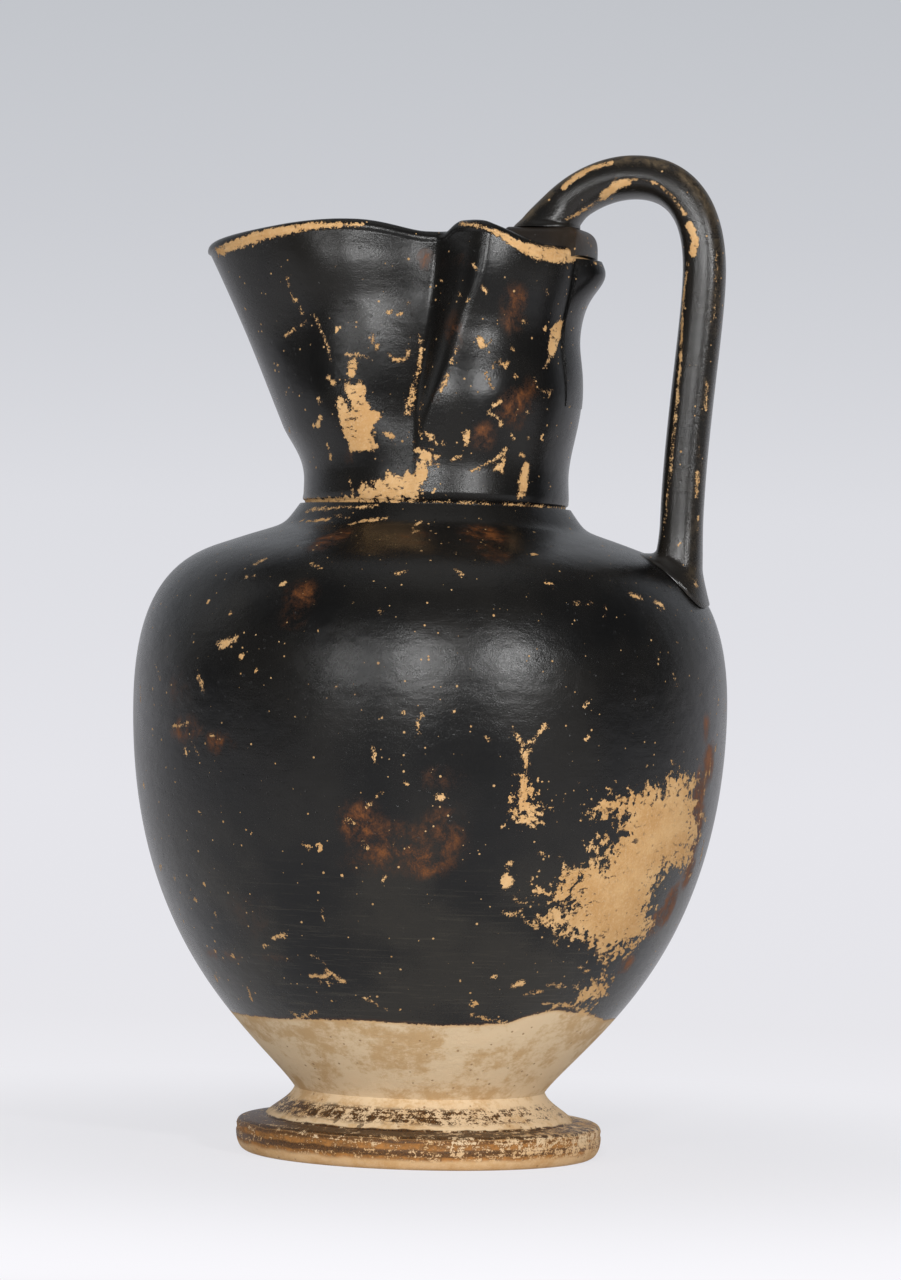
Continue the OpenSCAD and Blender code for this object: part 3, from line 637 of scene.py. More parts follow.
# neck and mouth: a round neck led out to a pouring lobe and pinched in at two places
neck = {
    "radius": 31.6, "wall": 3.9, "lip": 3.8, "joint": 155.0, "lapRadius": 29.6, "lap": 1.5,
    "throat": 27.5, "groove": 0.6, "gloss": dict(gloss, torn=11.0, satin=0.265, swell=0.14),
    "reach": 57.7, "back": 36.4, "pinch": 4.0, "sideFlat": 23.6, "pinchFrom": 165.0,
    "spoutTop": 217.0, "crestTop": 222.0, "backTop": 217.0, "rimDip": 2.4,
    # angles between which the rim goes up to the crest, into and out of the dip, and down to the lobe
    "crestRise": (30, 64), "dipDown": (67, 75), "dipUp": (84, 118), "spoutFall": (120, 182),
    "backSwell": 2.9, "backWaist": 1.5, "footSwell": 1.2, "lobeSwell": 5.5,  # waves of the round wall
    "creaseLow": 84, "creaseHigh": 78, "flatLow": 12, "flatHigh": 40,  # degrees, low on the neck and high
    "flatEase": 15, "merge": 4.5,  # where the flat side meets the round wall
    "columns": 400, "rise": 118, "lipRows": 20, "fall": 60, "darkInside": 186.0, "sideStart": 2.4,
    "markRadius": 33, "thinRadius": 34, "wornRadius": 40,  # as the body's, for its own marks
    "outlines": [
        [(-117.3, 183.3), (-113, 182.9), (-110.6, 183.7), (-107.9, 182), (-108.1, 180.7), (-106.1, 178.5),
         (-104.2, 176.8), (-100.1, 176.2), (-99, 175.1), (-102.8, 173.3), (-104.2, 170.7), (-100.2, 168.2),
         (-102, 167.3), (-109.3, 167), (-113.6, 166.5), (-114.7, 168.5), (-116.8, 171.1), (-117.5, 173.7),
         (-119.3, 176.8), (-120.2, 179.4), (-118, 179.8), (-115.4, 178.1), (-113.9, 175.9),
         (-112.8, 177.6), (-114.9, 179.8), (-116.6, 181.5)],
        [(-116.9, 188.6), (-114.5, 189), (-112.4, 187.7), (-113.1, 185.1), (-114.9, 184.2), (-116.4, 185.5)],
        [(-127.9, 155.6), (-113.2, 155.9), (-107.5, 157.7), (-104.8, 159), (-102.1, 159.5), (-97, 160.8),
         (-92, 161.3), (-87.1, 161.3), (-83.9, 162.7), (-82.4, 166.2), (-83.3, 168.3), (-81, 168.6),
         (-79.3, 167.1), (-75.8, 166.2), (-78.4, 164.5), (-79.1, 161.9), (-81.4, 159.2), (-82.1, 157.5),
         (-81.1, 156.1), (-86.8, 155.9), (-96.6, 155.9), (-109.7, 155.1), (-129.4, 154.5), (-144.6, 154.4)],
        [(-80.4, 171.8), (-77.2, 171.5), (-74.7, 168.9), (-78.7, 169.7)],
        [(-20, 199.3), (-14.4, 199.7), (-14.7, 195.7), (-19.2, 192), (-23.2, 190.1), (-24.9, 191.8),
         (-23.6, 194.5), (-22.7, 197.2)],
        [(-34.9, 165.7), (-31.5, 165.4), (-31.5, 162.8), (-33.9, 157.5), (-38.5, 156.8), (-37.6, 160),
         (-36.4, 163.1)]],
    "strokes": [
        (-118.2, 190, -114.6, 189.5, .36), (-114, 190.2, -107.8, 188.6, .27),
        (-123.4, 184.2, -121.3, 182.6, .53), (-127.9, 179.2, -127.6, 178.6, .71),
        (-129.9, 173.1, -127.5, 174.9, .62), (-147, 181.3, -147.3, 180.6, .45),
        (-149.7, 187.6, -149.3, 187.2, .36), (-153.5, 173, -156.6, 171.3, .27),
        (-97.6, 171.4, -94.4, 170.5, .53), (-103.8, 170.3, -102.7, 171.2, .45),
        (-99.7, 189.7, -95.6, 188.6, .4), (-95.6, 188.6, -92.7, 188.8, .45),
        (-92.7, 188.8, -90.8, 191, .36), (-86.7, 195, -84.9, 191.6, .31), (-84.9, 191.6, -85, 187.2, .4),
        (-85.2, 187.2, -85.5, 183.6, .36), (-85.5, 183.6, -86.7, 179.2, .4), (-86.1, 185.4, -88, 180, .31),
        (-88, 180, -89.4, 176.1, .4), (-86.2, 180.1, -87.4, 176.5, .36), (-89.4, 176.1, -86.5, 176.7, .36),
        (-82.3, 179.3, -82.2, 170.5, .13), (-67.7, 192.2, -71.9, 184.3, .18),
        (-71.9, 184.3, -74.3, 181, .4), (-58.6, 193.8, -57.1, 192.5, .8),
        (-55.4, 192.6, -53.6, 193.2, .36), (-63.6, 171.2, -63, 170.1, .71),
        (-62.2, 172.1, -63.2, 169.1, .45), (-52.6, 178.3, -50.2, 179.2, .53),
        (-54.3, 176.8, -50.7, 175.8, .45), (-50.7, 175.8, -48.4, 174.1, .36),
        (-68.3, 165.5, -64.9, 166.4, .36), (-60.6, 162.8, -50.3, 165.7, .31),
        (-50.3, 165.7, -44.7, 168.4, .45), (-49.2, 163.7, -47, 164.3, .71),
        (-45.4, 167.5, -46.4, 163.1, .45), (-55.7, 184.8, -54.6, 184.2, .36),
        (-23.2, 190.3, -28.9, 187.6, .2), (-58.6, 206.4, -56.6, 204.7, .31),
        (-38.6, 198.7, -37.6, 198.4, .45), (-49.8, 188.7, -48.9, 188.2, .53),
        (-43.5, 185.8, -42.5, 185.3, .45), (-31.7, 183, -28.7, 182.6, .27),
        (-27.5, 182.1, -23.7, 182.6, .36), (-26, 181.4, -25.2, 181.8, .27),
        (-66.9, 204.4, -66.2, 204, .27), (-63.8, 203, -63.6, 202.6, .31),
        (-62.4, 211.5, -60.9, 210.2, .27), (-75.5, 208, -74.5, 207.5, .31),
        (-102.4, 199.9, -101, 200.5, .36), (-97.9, 199.5, -96.7, 199.9, .27),
        (-93.5, 202, -92.6, 202.4, .22), (-139.9, 207.5, -139.9, 206.1, .36),
        (-139.6, 204.7, -138.8, 202.6, .31), (-137.8, 202.9, -137.1, 202.2, .36),
        (-136.9, 200.8, -136.2, 199.8, .36), (-144.7, 194.4, -134.9, 197.7, .22),
        (-131.6, 199.2, -129.7, 196.6, .22), (-129.7, 196.6, -126.5, 192.6, .2),
        (-126.5, 192.6, -123.9, 188.6, .22), (-108, 194.8, -108, 192.6, .27),
        (-105.8, 192.3, -106.3, 191.3, .27), (-126.8, 168.6, -126.2, 165.1, .18),
        (-43.3, 171.6, -42, 171, .27), (-37.4, 167.2, -34.9, 166.9, .36),
        (-37.2, 177.5, -36.4, 177.1, .27), (-33.9, 185.4, -33.6, 184.9, .27),
        (-34.2, 171.4, -34.2, 170.9, .22), (-12.3, 208.8, -11.3, 209.7, .22),
        (-19.2, 212.2, -18.6, 211.9, .22), (-73.2, 169.8, -71.6, 168.8, .27),
        (-114.7, 160.7, -113.5, 159, .22), (-52.5, 188.4, -53.4, 187.3, .27),
        (-47, 188.5, -47.6, 187.6, .27), (-43.7, 192.1, -42.8, 191.6, .27),
        (-57, 186.6, -55.9, 185.9, .27), (-54.3, 183.1, -53.4, 182.4, .22),
        (-30.5, 206.5, -28.2, 205.3, .18)],
    "thin": [
        (-84.6, 212.9, 2.7, 2.3, .9), (-44.1, 201.2, 3.2, 5.3, .9), (-42.8, 178.2, 4.5, 4.5, .8),
        (-56.2, 170.9, 3.2, 3.2, .9), (-69, 195.5, 2.1, 4.5, .55), (-36, 181.8, 2.7, 3.6, .5),
        (-115.3, 165.9, 2.7, 1.8, .4), (-75.3, 180.3, 2.1, 2.1, .3), (-65.2, 212.1, 2.7, 2.1, .25)],
    "wornLobe": [
        (-165.6, 213.6, 215.2), (-159.3, 214.6, 216.4), (-153.1, 215.4, 217.8), (-148, 216.3, 219),
        (-143, 217.3, 219.8), (-138.2, 217.9, 220.1), (-133.2, 218.7, 220.6), (-126.4, 219.4, 220.9),
        (-119.6, 219.9, 220.9), (-113.3, 220.2, 220.6)],
    "wornSide": [
        (-66.7, 220.9, 221.6), (-59.8, 219.8, 220.6), (-52.3, 217.8, 219), (-47.8, 215.6, 218),
        (-44.3, 214.7, 217.2), (-37.9, 213.2, 216.6), (-28.4, 212.6, 216.2), (-16.8, 213, 216.3),
        (-7.1, 213.8, 216.2), (3, 214.9, 216)],
}
wallFrom = neck["joint"] + 2.4
lipBulge = (neck["lip"] - 3.2) / 2


def wallRadius(a, z):
    a = np.abs(turnGap(a, 0))
    neckRound, swell = neck["radius"], neck["backSwell"]
    backWall = neckRound + swell * easeStep(z, wallFrom + 4, wallFrom + 25) \
        - neck["backWaist"] * bell((z - wallFrom - 38) / 8) \
        + (neck["back"] - lipBulge - neckRound - swell) * easeStep(z, wallFrom + 42, neck["backTop"] - 2)
    t = np.maximum(0, (z - wallFrom - 3) / (neck["spoutTop"] - 2 - wallFrom - 3))
    spoutWall = neckRound + (neck["reach"] - lipBulge - neckRound) * (0.94 * t + 0.06 * t ** 3) \
        * easeStep(t, -0.05, 0.24)
    lobe = np.maximum(0, -np.cos(np.radians(a))) ** blend(2.2, 5, easeStep(z, wallFrom, neck["spoutTop"]))
    bulge = blend(backWall, spoutWall, lobe) \
        + neck["footSwell"] * bell((z - neck["joint"]) / 7) * bell((a - 75) / 60)
    # the flat side, from the round neck in to the crease
    p = np.clip((z - neck["pinchFrom"]) / (neck["backTop"] + 3 - neck["pinchFrom"]), 0, 1)
    start = neckRound + neck["sideStart"]
    side = start - (start - neck["sideFlat"]) * (1 - (1 - p ** 1.4) ** 2.5) \
        + 1.2 * bell((z - neck["backTop"] + 4) / 7) \
        + neck["lobeSwell"] * easeStep(a, 84, 136) * easeStep(z, 172, 214)
    crease = blend(neck["creaseLow"], neck["creaseHigh"], easeStep(z, 178, 218))
    spread = blend(neck["flatLow"], neck["flatHigh"], easeStep(z, 162, 216))
    lean = np.maximum(0.05, np.sin(np.radians(np.maximum(a, 40))))
    flat = (side + neck["flatEase"] * (1 - easeStep(a, crease - spread, crease + 2))) / lean
    near = np.clip(0.5 + 0.5 * (flat - bulge) / neck["merge"], 0, 1)
    wall = blend(flat, bulge, near) - neck["merge"] * near * (1 - near)
    # the pinch, steep on the lobe's side and long on the back's
    t = np.maximum(0, (z - neck["joint"] - 4) / (neck["crestTop"] - neck["joint"] - 4))
    d = a - crease
    away = (np.sqrt(d * d + 3.0) - 1.732) / np.where(d < 0, blend(6, 26, np.minimum(t, 1)), 12)
    return wall - neck["pinch"] * 1.2 * t * t / (t + 0.2) * np.exp(-away ** 1.25)


def rimHeight(a):
    a = np.abs(turnGap(a, 0))
    return neck["backTop"] + (neck["crestTop"] - neck["backTop"]) * easeStep(a, *neck["crestRise"]) \
        - neck["rimDip"] * easeStep(a, *neck["dipDown"]) * (1 - easeStep(a, *neck["dipUp"])) \
        - (neck["crestTop"] - neck["spoutTop"]) * easeStep(a, *neck["spoutFall"])


def underLip(a):  # where the wall ends and the rounded lip begins
    return rimHeight(a) - neck["lip"] * 0.72


def wallPoint(a, z):
    r, t = wallRadius(a, z), np.radians(a)
    return np.stack([r * np.cos(t), r * np.sin(t), z + 0 * r], -1)


# unit vector across the wall, level, pointing out of the mouth
def acrossWall(a, z):
    way = wallPoint(a + 2.25, z) - wallPoint(a - 2.25, z)
    way = way[..., :2] / np.linalg.norm(way[..., :2], axis=-1)[..., None]
    return np.stack([way[..., 1], -way[..., 0], 0 * way[..., 0]], -1)


def outerRow(a, k):  # k from 0 at the joint to 1 under the lip
    return wallPoint(a, blend(wallFrom, underLip(a), 1 - (1 - k) ** 1.2))


def lipRow(a, k):  # k from 0 outside over the top to 1 inside
    z, t = rimHeight(a) - neck["lip"] / 2, math.radians(blend(-12, 192, k))
    out = acrossWall(a, z)
    lipMiddle = wallPoint(a, z) - 1.6 * out
    up = np.zeros_like(lipMiddle)
    up[..., 2] = neck["lip"] / 2 * math.sin(t)
    return lipMiddle + neck["lip"] / 2 * math.cos(t) * out + up


def innerRow(a, k):  # k from 0 under the lip to 1 at the throat
    z = blend(underLip(a) - 1, neck["joint"] + 1.2, k)
    thick = blend(neck["wall"], 3.2, easeStep(z, wallFrom, neck["backTop"] - 8))
    return wallPoint(a, z) - thick[..., None] * acrossWall(a, z)


def ringRow(a, r, z):
    t = np.radians(a)
    return np.stack([r * np.cos(t), r * np.sin(t), z + 0 * t], -1)


def makeNeck():
    a = np.arange(neck["columns"]) * 360 / neck["columns"]
    foot = neck["radius"] + 0.3
    joint, deep, lap = neck["joint"], foot - neck["groove"], neck["lapRadius"]
    rows = [ringRow(a, r, joint + up) for r, up in (
        (lap, -neck["lap"]), (lap, 0), (deep, 0), (deep, 0.35), (deep + 0.12, 0.7), (foot - 0.1, 0.95),
        (foot, 1.2))]
    rows += [outerRow(a, k) for k in np.linspace(0, 1, neck["rise"])]
    rows += [lipRow(a, k) for k in np.linspace(0, 1, neck["lipRows"])]
    lipEnd = len(rows)
    rows += [innerRow(a, k) for k in np.linspace(0, 1, neck["fall"])]
    rows += [ringRow(a, neck["throat"], joint - neck["lap"])]
    piece = skin("jugNeck", rows, glossOverClay("neckGloss", neck["gloss"]), 42, loopRows=True)
    at = spots(piece.data) / mm
    row = np.arange(len(at)) // neck["columns"]
    outer = row < lipEnd - neck["lipRows"] // 2
    angle, z = angleOf(at), at[:, 2]
    ragged = outlineField(at, neck["outlines"][2:3], neck["markRadius"])
    chip = np.maximum(outlineField(at, neck["outlines"][:2] + neck["outlines"][3:], neck["markRadius"]),
                      strokeField(at, [(wallPoint(np.array(s), t), wallPoint(np.array(u), v), w)
                                       for s, t, u, v, w in neck["strokes"]]))
    for band in (neck["wornLobe"], neck["wornSide"]):
        outline = [(p[0], p[1]) for p in band] + [(p[0], p[2]) for p in reversed(band)]
        chip = np.maximum(chip, outlineField(at, [outline], neck["wornRadius"]))
    groove = 0.20 - np.abs(z - joint - 0.45) + 0.5 * easeStep(-turnGap(angle, nearSide), 12, 40)
    chip = np.maximum(chip, np.where(np.abs(z - joint) < 3, groove, far))
    thin = cloudField(at, neck["thin"], neck["thinRadius"])
    keepWear(piece, chip=np.where(outer, chip, far), thin=np.where(outer, thin, 0.25),
             patch=np.where(outer, ragged, far),
             bare=np.where(outer, far, np.clip(neck["darkInside"] - z, far, 6)))
    ready(piece, "neck_and_mouth", "neck_and_mouth")
    return piece


# root pad and rear spur: clay pressed on the neck, lying on the neck's own surface
pad = {
    "half": 18.0, "top": 222.0, "outer": 37.3, "nose": 16.6, "rows": 90, "columns": 49,
    "wideOut": 11.4, "wideIn": 9.0, "drop": 1.6, "topFrom": 0.42, "topTo": 0.5,  # shares of the way over
    "gloss": dict(gloss, gloss=(0.010, 0.008, 0.007), glossWarm=(0.028, 0.019, 0.012),
                  pores=0.06, satin=0.40),
    "cracks": [((31.5, -7.2, 221.6), (35.0, -6.6, 221.0), 0.16),
               ((35.0, -6.6, 221.0), (34.2, -9.6, 219.6), 0.14),
               ((36.8, -3.2, 219.6), (37.2, -0.5, 218.4), 0.2)],
}


def closedPatch(name, under, free, finish, crease):
    m, n = len(under), len(under[0])
    points = np.concatenate(list(under) + list(free)) * mm
    o, faces = m * n, []
    for j in range(m - 1):
        for i in range(n - 1):
            a = j * n + i
            faces += [(a, a + 1, a + n + 1, a + n), (o + a, o + a + n, o + a + n + 1, o + a + 1)]
        a, e = j * n, j * n + n - 1
        faces += [(a, a + n, o + a + n, o + a), (e, o + e, o + e + n, e + n)]
    for i in range(n - 1):
        e = (m - 1) * n + i
        faces += [(i, o + i, o + i + 1, i + 1), (e, e + 1, o + e + 1, o + e)]
    mesh = bpy.data.meshes.new(name)
    mesh.from_pydata([tuple(p) for p in points], [], faces)
    return finishPiece(name, mesh, finish, crease)


def padUnder(a, w):  # the neck's surface from the outer lip to inside the mouth, in elevenths
    s = w * 11
    if s <= 6:
        return lipRow(a, s / 6)
    if s < 7:
        return blend(lipRow(a, 1.0), innerRow(a, 0.0), s - 6)
    return innerRow(a, (s - 7) / 14)


def makePad():
    a = np.linspace(-pad["half"], pad["half"], pad["columns"])
    q = a / pad["half"]
    low = padUnder(np.array([0.0]), 1.0)[0]
    lip = padUnder(np.array([0.0]), 0.0)[0]
    top = [(pad["outer"], lip[2] + 0.4), (pad["outer"] + 0.1, pad["top"] - 2.2),
           (pad["outer"] - 1.8, pad["top"]), (pad["outer"] - 5, pad["top"])]
    nose = [(pad["nose"] + 1.5, pad["top"]), (pad["nose"] - 0.9, pad["top"]),
            (pad["nose"] + 0.4, pad["top"] - 8), (low[0] - 1, low[2] + 0.4)]
    start, end = pad["topFrom"], pad["topTo"]
    under, free = [], []
    for w in np.linspace(0, 1, pad["rows"]):
        if w < start:
            r, z = bezier(top, w / start)[0]
        elif w < end:
            r, z = blend(np.array(top[3]), np.array(nose[0]), (w - start) / (end - start))
        else:
            r, z = bezier(nose, (w - end) / (1 - end))[0]
        y = q * blend(pad["wideOut"], pad["wideIn"], easeStep(r, pad["outer"], 30))
        bend = y * (1 - easeStep(w, 0, end))
        drop = pad["drop"] * np.abs(q) ** 8 * easeStep(z, pad["top"] - 10, pad["top"])
        under.append(padUnder(a, w))
        free.append(np.stack([np.sqrt(r * r - bend * bend), y, z - drop], -1))
    piece = closedPatch("jugRootPad", under, free, glossOverClay("padGloss", pad["gloss"]), 50)
    at = spots(piece.data) / mm
    keepWear(piece, chip=strokeField(at, pad["cracks"]),
             thin=0.05 + 0.3 * easeStep(at[:, 0], 31, 37) * easeStep(at[:, 2], 214, 221))
    ready(piece, "handle_root_pad", "handle_root_pad")
    return piece


spur = {
    "half": 13.5, "out": 3.4, "tongue": 0.8, "edge": 0.15, "down": 6.2, "rows": 80, "columns": 41,
    "parts": 24, "lowest": 8,  # from under the lip down to a third of the neck's height
    "strokes": [((38.6, -4.4, 213.6), (39.6, -1.5, 213.2), 0.25)],
}


def makeSpur():
    a = np.linspace(spur["half"], -spur["half"], spur["columns"])
    q = a / spur["half"]
    under, free = [], []
    for k in np.linspace(1, spur["lowest"] / spur["parts"], spur["rows"]):
        flat = outerRow(a, k)
        middle = outerRow(np.array([0.0]), k)[0]
        step = k * spur["parts"] - spur["lowest"]
        up = middle[2] - (neck["backTop"] - spur["down"])
        thick = spur["tongue"] * easeStep(step, -1, 5) * (1 - 0.45 * q * q) + spur["edge"] \
            + spur["out"] * bell(up / 5) * (1 - 0.9 * q * q)
        r = np.hypot(flat[:, 0], flat[:, 1])
        grow = ((r + thick) / r)[:, None]
        under.append(flat)
        free.append(np.concatenate([flat[:, :2] * grow, flat[:, 2:]], 1))
    piece = closedPatch("jugRearSpur", under, free, glossOverClay("spurGloss", gloss), 50)
    keepWear(piece, chip=strokeField(spots(piece.data) / mm, spur["strokes"]), thin=0.1)
    ready(piece, "rear_spur", "rear_spur")
    return piece


# handle: one softly squared section carried over the arch and down the grip, turning as it goes
handle = {
    "thick": 10.0, "wide": 12.4, "archTurn": 17.0, "gripTurn": 8.0, "flare": 0.35,
    "gloss": dict(gloss, gloss=(0.006, 0.006, 0.006), glossWarm=(0.013, 0.011, 0.009),
                  brownDeep=(0.060, 0.040, 0.020), brownLight=(0.135, 0.095, 0.052),
                  satin=0.24, sheen=0.44, wheel=0.0, pores=0.055, swell=0.06, fray=1.4),
    "path": [[(23, 217.5), (27, 227.2), (37.2, 234.4), (47.2, 234.3)],
             [(47.2, 234.3), (57.176, 234.3), (64.4, 227.7), (64.4, 211.3)],
             [(64.4, 211.3), (64.4, 198.3), (60.8, 175), (60.5, 152)],
             [(60.5, 152), (60.4, 146), (60.0, 140.5), (58.6, 131.5)]],
    "steps": [90, 60, 90, 60], "rootGrow": 0.16, "rimGrow": 0.10, "footGrow": 0.34, "footReach": 8.0,
    "rootRings": (0.06, 0.5), "footRings": (0.75, 0.5, 0.25, 0.06), "rootEnd": 43.2, "rootTurn": 3.0,
    "corners": 0.8, "sides": 40,  # 1 is an oval, less is squarer
    "strokes": [
        ((31.0, -5.7, 231.3), (33.4, -5.4, 234.0), 0.8), ((33.4, -5.4, 234.0), (37.6, -5.2, 236.2), 0.8),
        ((37.6, -5.2, 236.2), (42.3, -5.2, 237.3), 0.55), ((40.2, -4.4, 229.4), (43.4, -5.6, 231.8), 1.0),
        ((43.4, -5.6, 231.8), (46.6, -6.1, 232.6), 0.9), ((61.6, -6.5, 222.6), (63.2, -6.4, 219.6), 1.0),
        ((63.2, -6.4, 219.6), (62.8, -6.4, 215.8), 1.0), ((31.7, -4.7, 223.9), (36.0, -3.3, 226.5), 0.31),
        ((36.0, -3.3, 226.5), (39.5, -3.8, 228.7), 0.31), ((43.8, -6.3, 233.4), (52.3, -6.4, 233.1), 0.27),
        ((52.4, -6.5, 232.7), (54.7, -6.5, 231.6), 0.36), ((55.1, -6.5, 231.2), (57.9, -6.5, 228.7), 0.31),
        ((58.3, -6.5, 228.1), (60.7, -6.5, 225.1), 0.45), ((61.5, -5.9, 213.7), (60.6, -4.9, 207.7), 0.36),
        ((60.6, -4.9, 207.7), (60.4, -5.2, 200.6), 0.4), ((60.4, -5.2, 200.6), (60.4, -6.3, 190.0), 0.45),
        ((60.4, -6.3, 190.0), (59.5, -6.5, 176.0), 0.45), ((59.5, -6.5, 176.0), (58.7, -6.5, 163.7), 0.36),
        ((58.7, -6.5, 163.7), (57.4, -5.9, 150.5), 0.31), ((57.4, -5.9, 150.5), (56.9, -7.4, 147.0), 0.22),
        ((68.3, -5.4, 216.5), (68.3, -5.6, 209.4), 0.27), ((68.2, -5.7, 207.7), (68.1, -5.3, 200.7), 0.22),
        ((66.8, -5.3, 185.8), (66.5, -4.5, 178.4), 0.31), ((65.2, -5.3, 164.7), (64.9, -5.3, 158.6), 0.45),
        ((65.5, -5.4, 170.9), (65.3, -5.4, 168.2), 0.27), ((65.4, -5.9, 142.0), (65.7, -5.8, 137.6), 0.4),
        ((65.4, -3.9, 154.3), (65.3, -4.0, 150.8), 0.22)],
}


def handleSection():
    turn = np.arange(handle["sides"]) * math.pi / (handle["sides"] / 2)
    oval = np.stack([np.cos(turn), np.sin(turn)], 1)
    line = 0.5 * np.sign(oval) * np.abs(oval) ** handle["corners"]
    return line * [handle["thick"], handle["wide"]]


def handlePoints(k, t, section):  # t has one value for each point of the section
    path, ones = handle["path"][k], np.ones_like(t)
    middle, way = bezier(path, t), bezierWay(path, t)
    root, first, last = handle["rootTurn"], handle["archTurn"], handle["gripTurn"]
    turn = [blend(root, first, easeStep(t, 0.1, 1)), blend(first, last, easeStep(t, 0.2, 1)), last * ones,
            last * (1 - t)][k]
    spread = [1 + 0.02 * (1 - t) ** 4 - 0.04 * t * (2 - t), 0.96 + 0.06 * t, 1.02 * ones,
              1.02 + handle["flare"] * t ** 1.7][k]
    g = np.radians(turn)
    n = spread * (section[:, 0] * np.cos(g) - section[:, 1] * np.sin(g))
    b = spread * (section[:, 0] * np.sin(g) + section[:, 1] * np.cos(g))
    return np.stack([middle[:, 0] - way[:, 1] * n, b, middle[:, 1] + way[:, 0] * n], 1), n / handle["thick"]


def crossing(k, section, passed, backwards=False):  # where each line of the section meets a surface
    steps = np.linspace(0, 1, 400)
    found = np.full(len(section), np.nan)
    for t in (steps[::-1] if backwards else steps):
        points, _ = handlePoints(k, np.full(len(section), t), section)
        found = np.where(np.isnan(found) & passed(points), t, found)
    return found


def makeHandle():
    section = handleSection()
    inBody = crossing(3, section, lambda p: np.hypot(p[:, 0], p[:, 1]) <= bodyRadius(p[:, 2]))
    inBody = np.where(np.isnan(inBody), 1.0, inBody)
    onPad = crossing(0, section, lambda p: (p[:, 2] <= pad["top"]) & (p[:, 0] < handle["rootEnd"]), True)
    onPad = np.where(np.isnan(onPad), 0.0, onPad)
    rows, outs, runs = [], [], []
    for k in range(4):
        for j in range(0 if k == 0 else 1, handle["steps"][k] + 1):
            f = j / handle["steps"][k]
            t = np.full(len(section), f)
            if k == 0:
                t = onPad + (1 - onPad) * f
            elif k == 3:
                t = inBody * f
            points, out = handlePoints(k, t, section)
            if k == 0:  # a small foot where the clay was pressed on the pad
                grow = 1 + handle["rootGrow"] * (1 - easeStep(f, 0, 0.3)) \
                    + handle["rimGrow"] * (1 - easeStep(f, 0, 0.08))
                centre = points.mean(0)
                points[:, :2] = centre[:2] + (points[:, :2] - centre[:2]) * grow
                if j == 0:
                    points[:, 2] = pad["top"]
            if k == 3:  # smoothed into the shoulder, the last row lying on it
                centre = points.mean(0)
                gap = np.hypot(points[:, 0], points[:, 1]) - bodyRadius(points[:, 2])
                near = np.clip(1 - gap / handle["footReach"], 0, 1)
                points = centre + (points - centre) * (1 + handle["footGrow"] * near ** 2.2)[:, None]
                r, want = np.hypot(points[:, 0], points[:, 1]), bodyRadius(points[:, 2])
                scale = np.where((r < want) | (j == handle["steps"][k]), want / r, 1)
                points[:, :2] *= scale[:, None]
            rows.append(points)
            outs.append(out)
            runs.append(np.full(len(section), k + f))
    rows, run = np.array(rows), np.concatenate(runs)
    # the foot and the root are closed with rows that stay on the surface they meet
    foot, root = rows[-1], rows[0]
    closing = []
    for f in handle["footRings"]:
        ring = foot.mean(0) + (foot - foot.mean(0)) * f
        ring[:, :2] *= (bodyRadius(ring[:, 2]) / np.hypot(ring[:, 0], ring[:, 1]))[:, None]
        closing.append(ring)
    opening = [root.mean(0) + (root - root.mean(0)) * f for f in handle["rootRings"]]
    finish = glossOverClay("handleGloss", handle["gloss"])
    piece = skin("jugHandle", opening + list(rows) + closing, finish, 55, capEnds=True)
    at = spots(piece.data) / mm
    out = np.concatenate(outs)
    lead = len(opening) * len(section)
    tail = len(at) - len(out) - lead
    out = np.concatenate([np.zeros(lead), out, np.zeros(tail)])
    run = np.concatenate([np.zeros(lead), run, np.full(tail, 4.0)])
    topWear = easeStep(out, 0.18, 0.42) * (1 - 0.75 * easeStep(run, 1.2, 2.2))
    side = np.array((1.0, 0.3, 1.0))  # marks are laid on from the side
    strokes = [(np.array(a) * side, np.array(b) * side, w) for a, b, w in handle["strokes"]]
    keepWear(piece, chip=strokeField(at * side, strokes), thin=np.clip(0.1 + 0.95 * topWear, 0, 1))
    ready(piece, "handle", "handle")
    return piece


# foot: flaring clay ring with brushed bands
foot = {
    "edgeLow": [(41.2, 0), (43.1, 0.3), (43.8, 2.6), (43.8, 5.33)],
    "edgeTop": [(43.8, 5.33), (43.8, 7.4), (43.1, 7.9), (41.6, 8.0)],
    "rise": [(37.0, 8.7), (35.2, 10.8), (30.8, 12.6), (30, 15.4)],
    "under": [(21.6, 15.4), (22.2, 8.008), (30.9, 2.6), (33.7, 0)],
    "spacing": 0.5, "columns": 420, "edgeScrape": (0.28, 5.5, 0.45), "topScrape": (0.22, 37.2, 0.6),
    "recess": [(0, 34), (8, 27), (15.4, 29)],  # height, radius inside which the clay is bare
    "paint": (0.026, 0.015, 0.008), "paintBrown": (0.120, 0.050, 0.013), "orange": (0.40, 0.165, 0.036),
    # painted bands: low edge, high edge, softness, how much is left, strength
    "bands": [(10.0, 13.2, 0.6, 0.0, 1.0), (7.3, 8.9, 0.15, 0.5, 1.0), (6.3, 7.3, 0.3, 0.0, 0.9),
              (3.3, 4.9, 0.3, 0.25, 0.9)],
    "stain": (2.4, 7.4, 0.6, 0.45, 0.92),
}


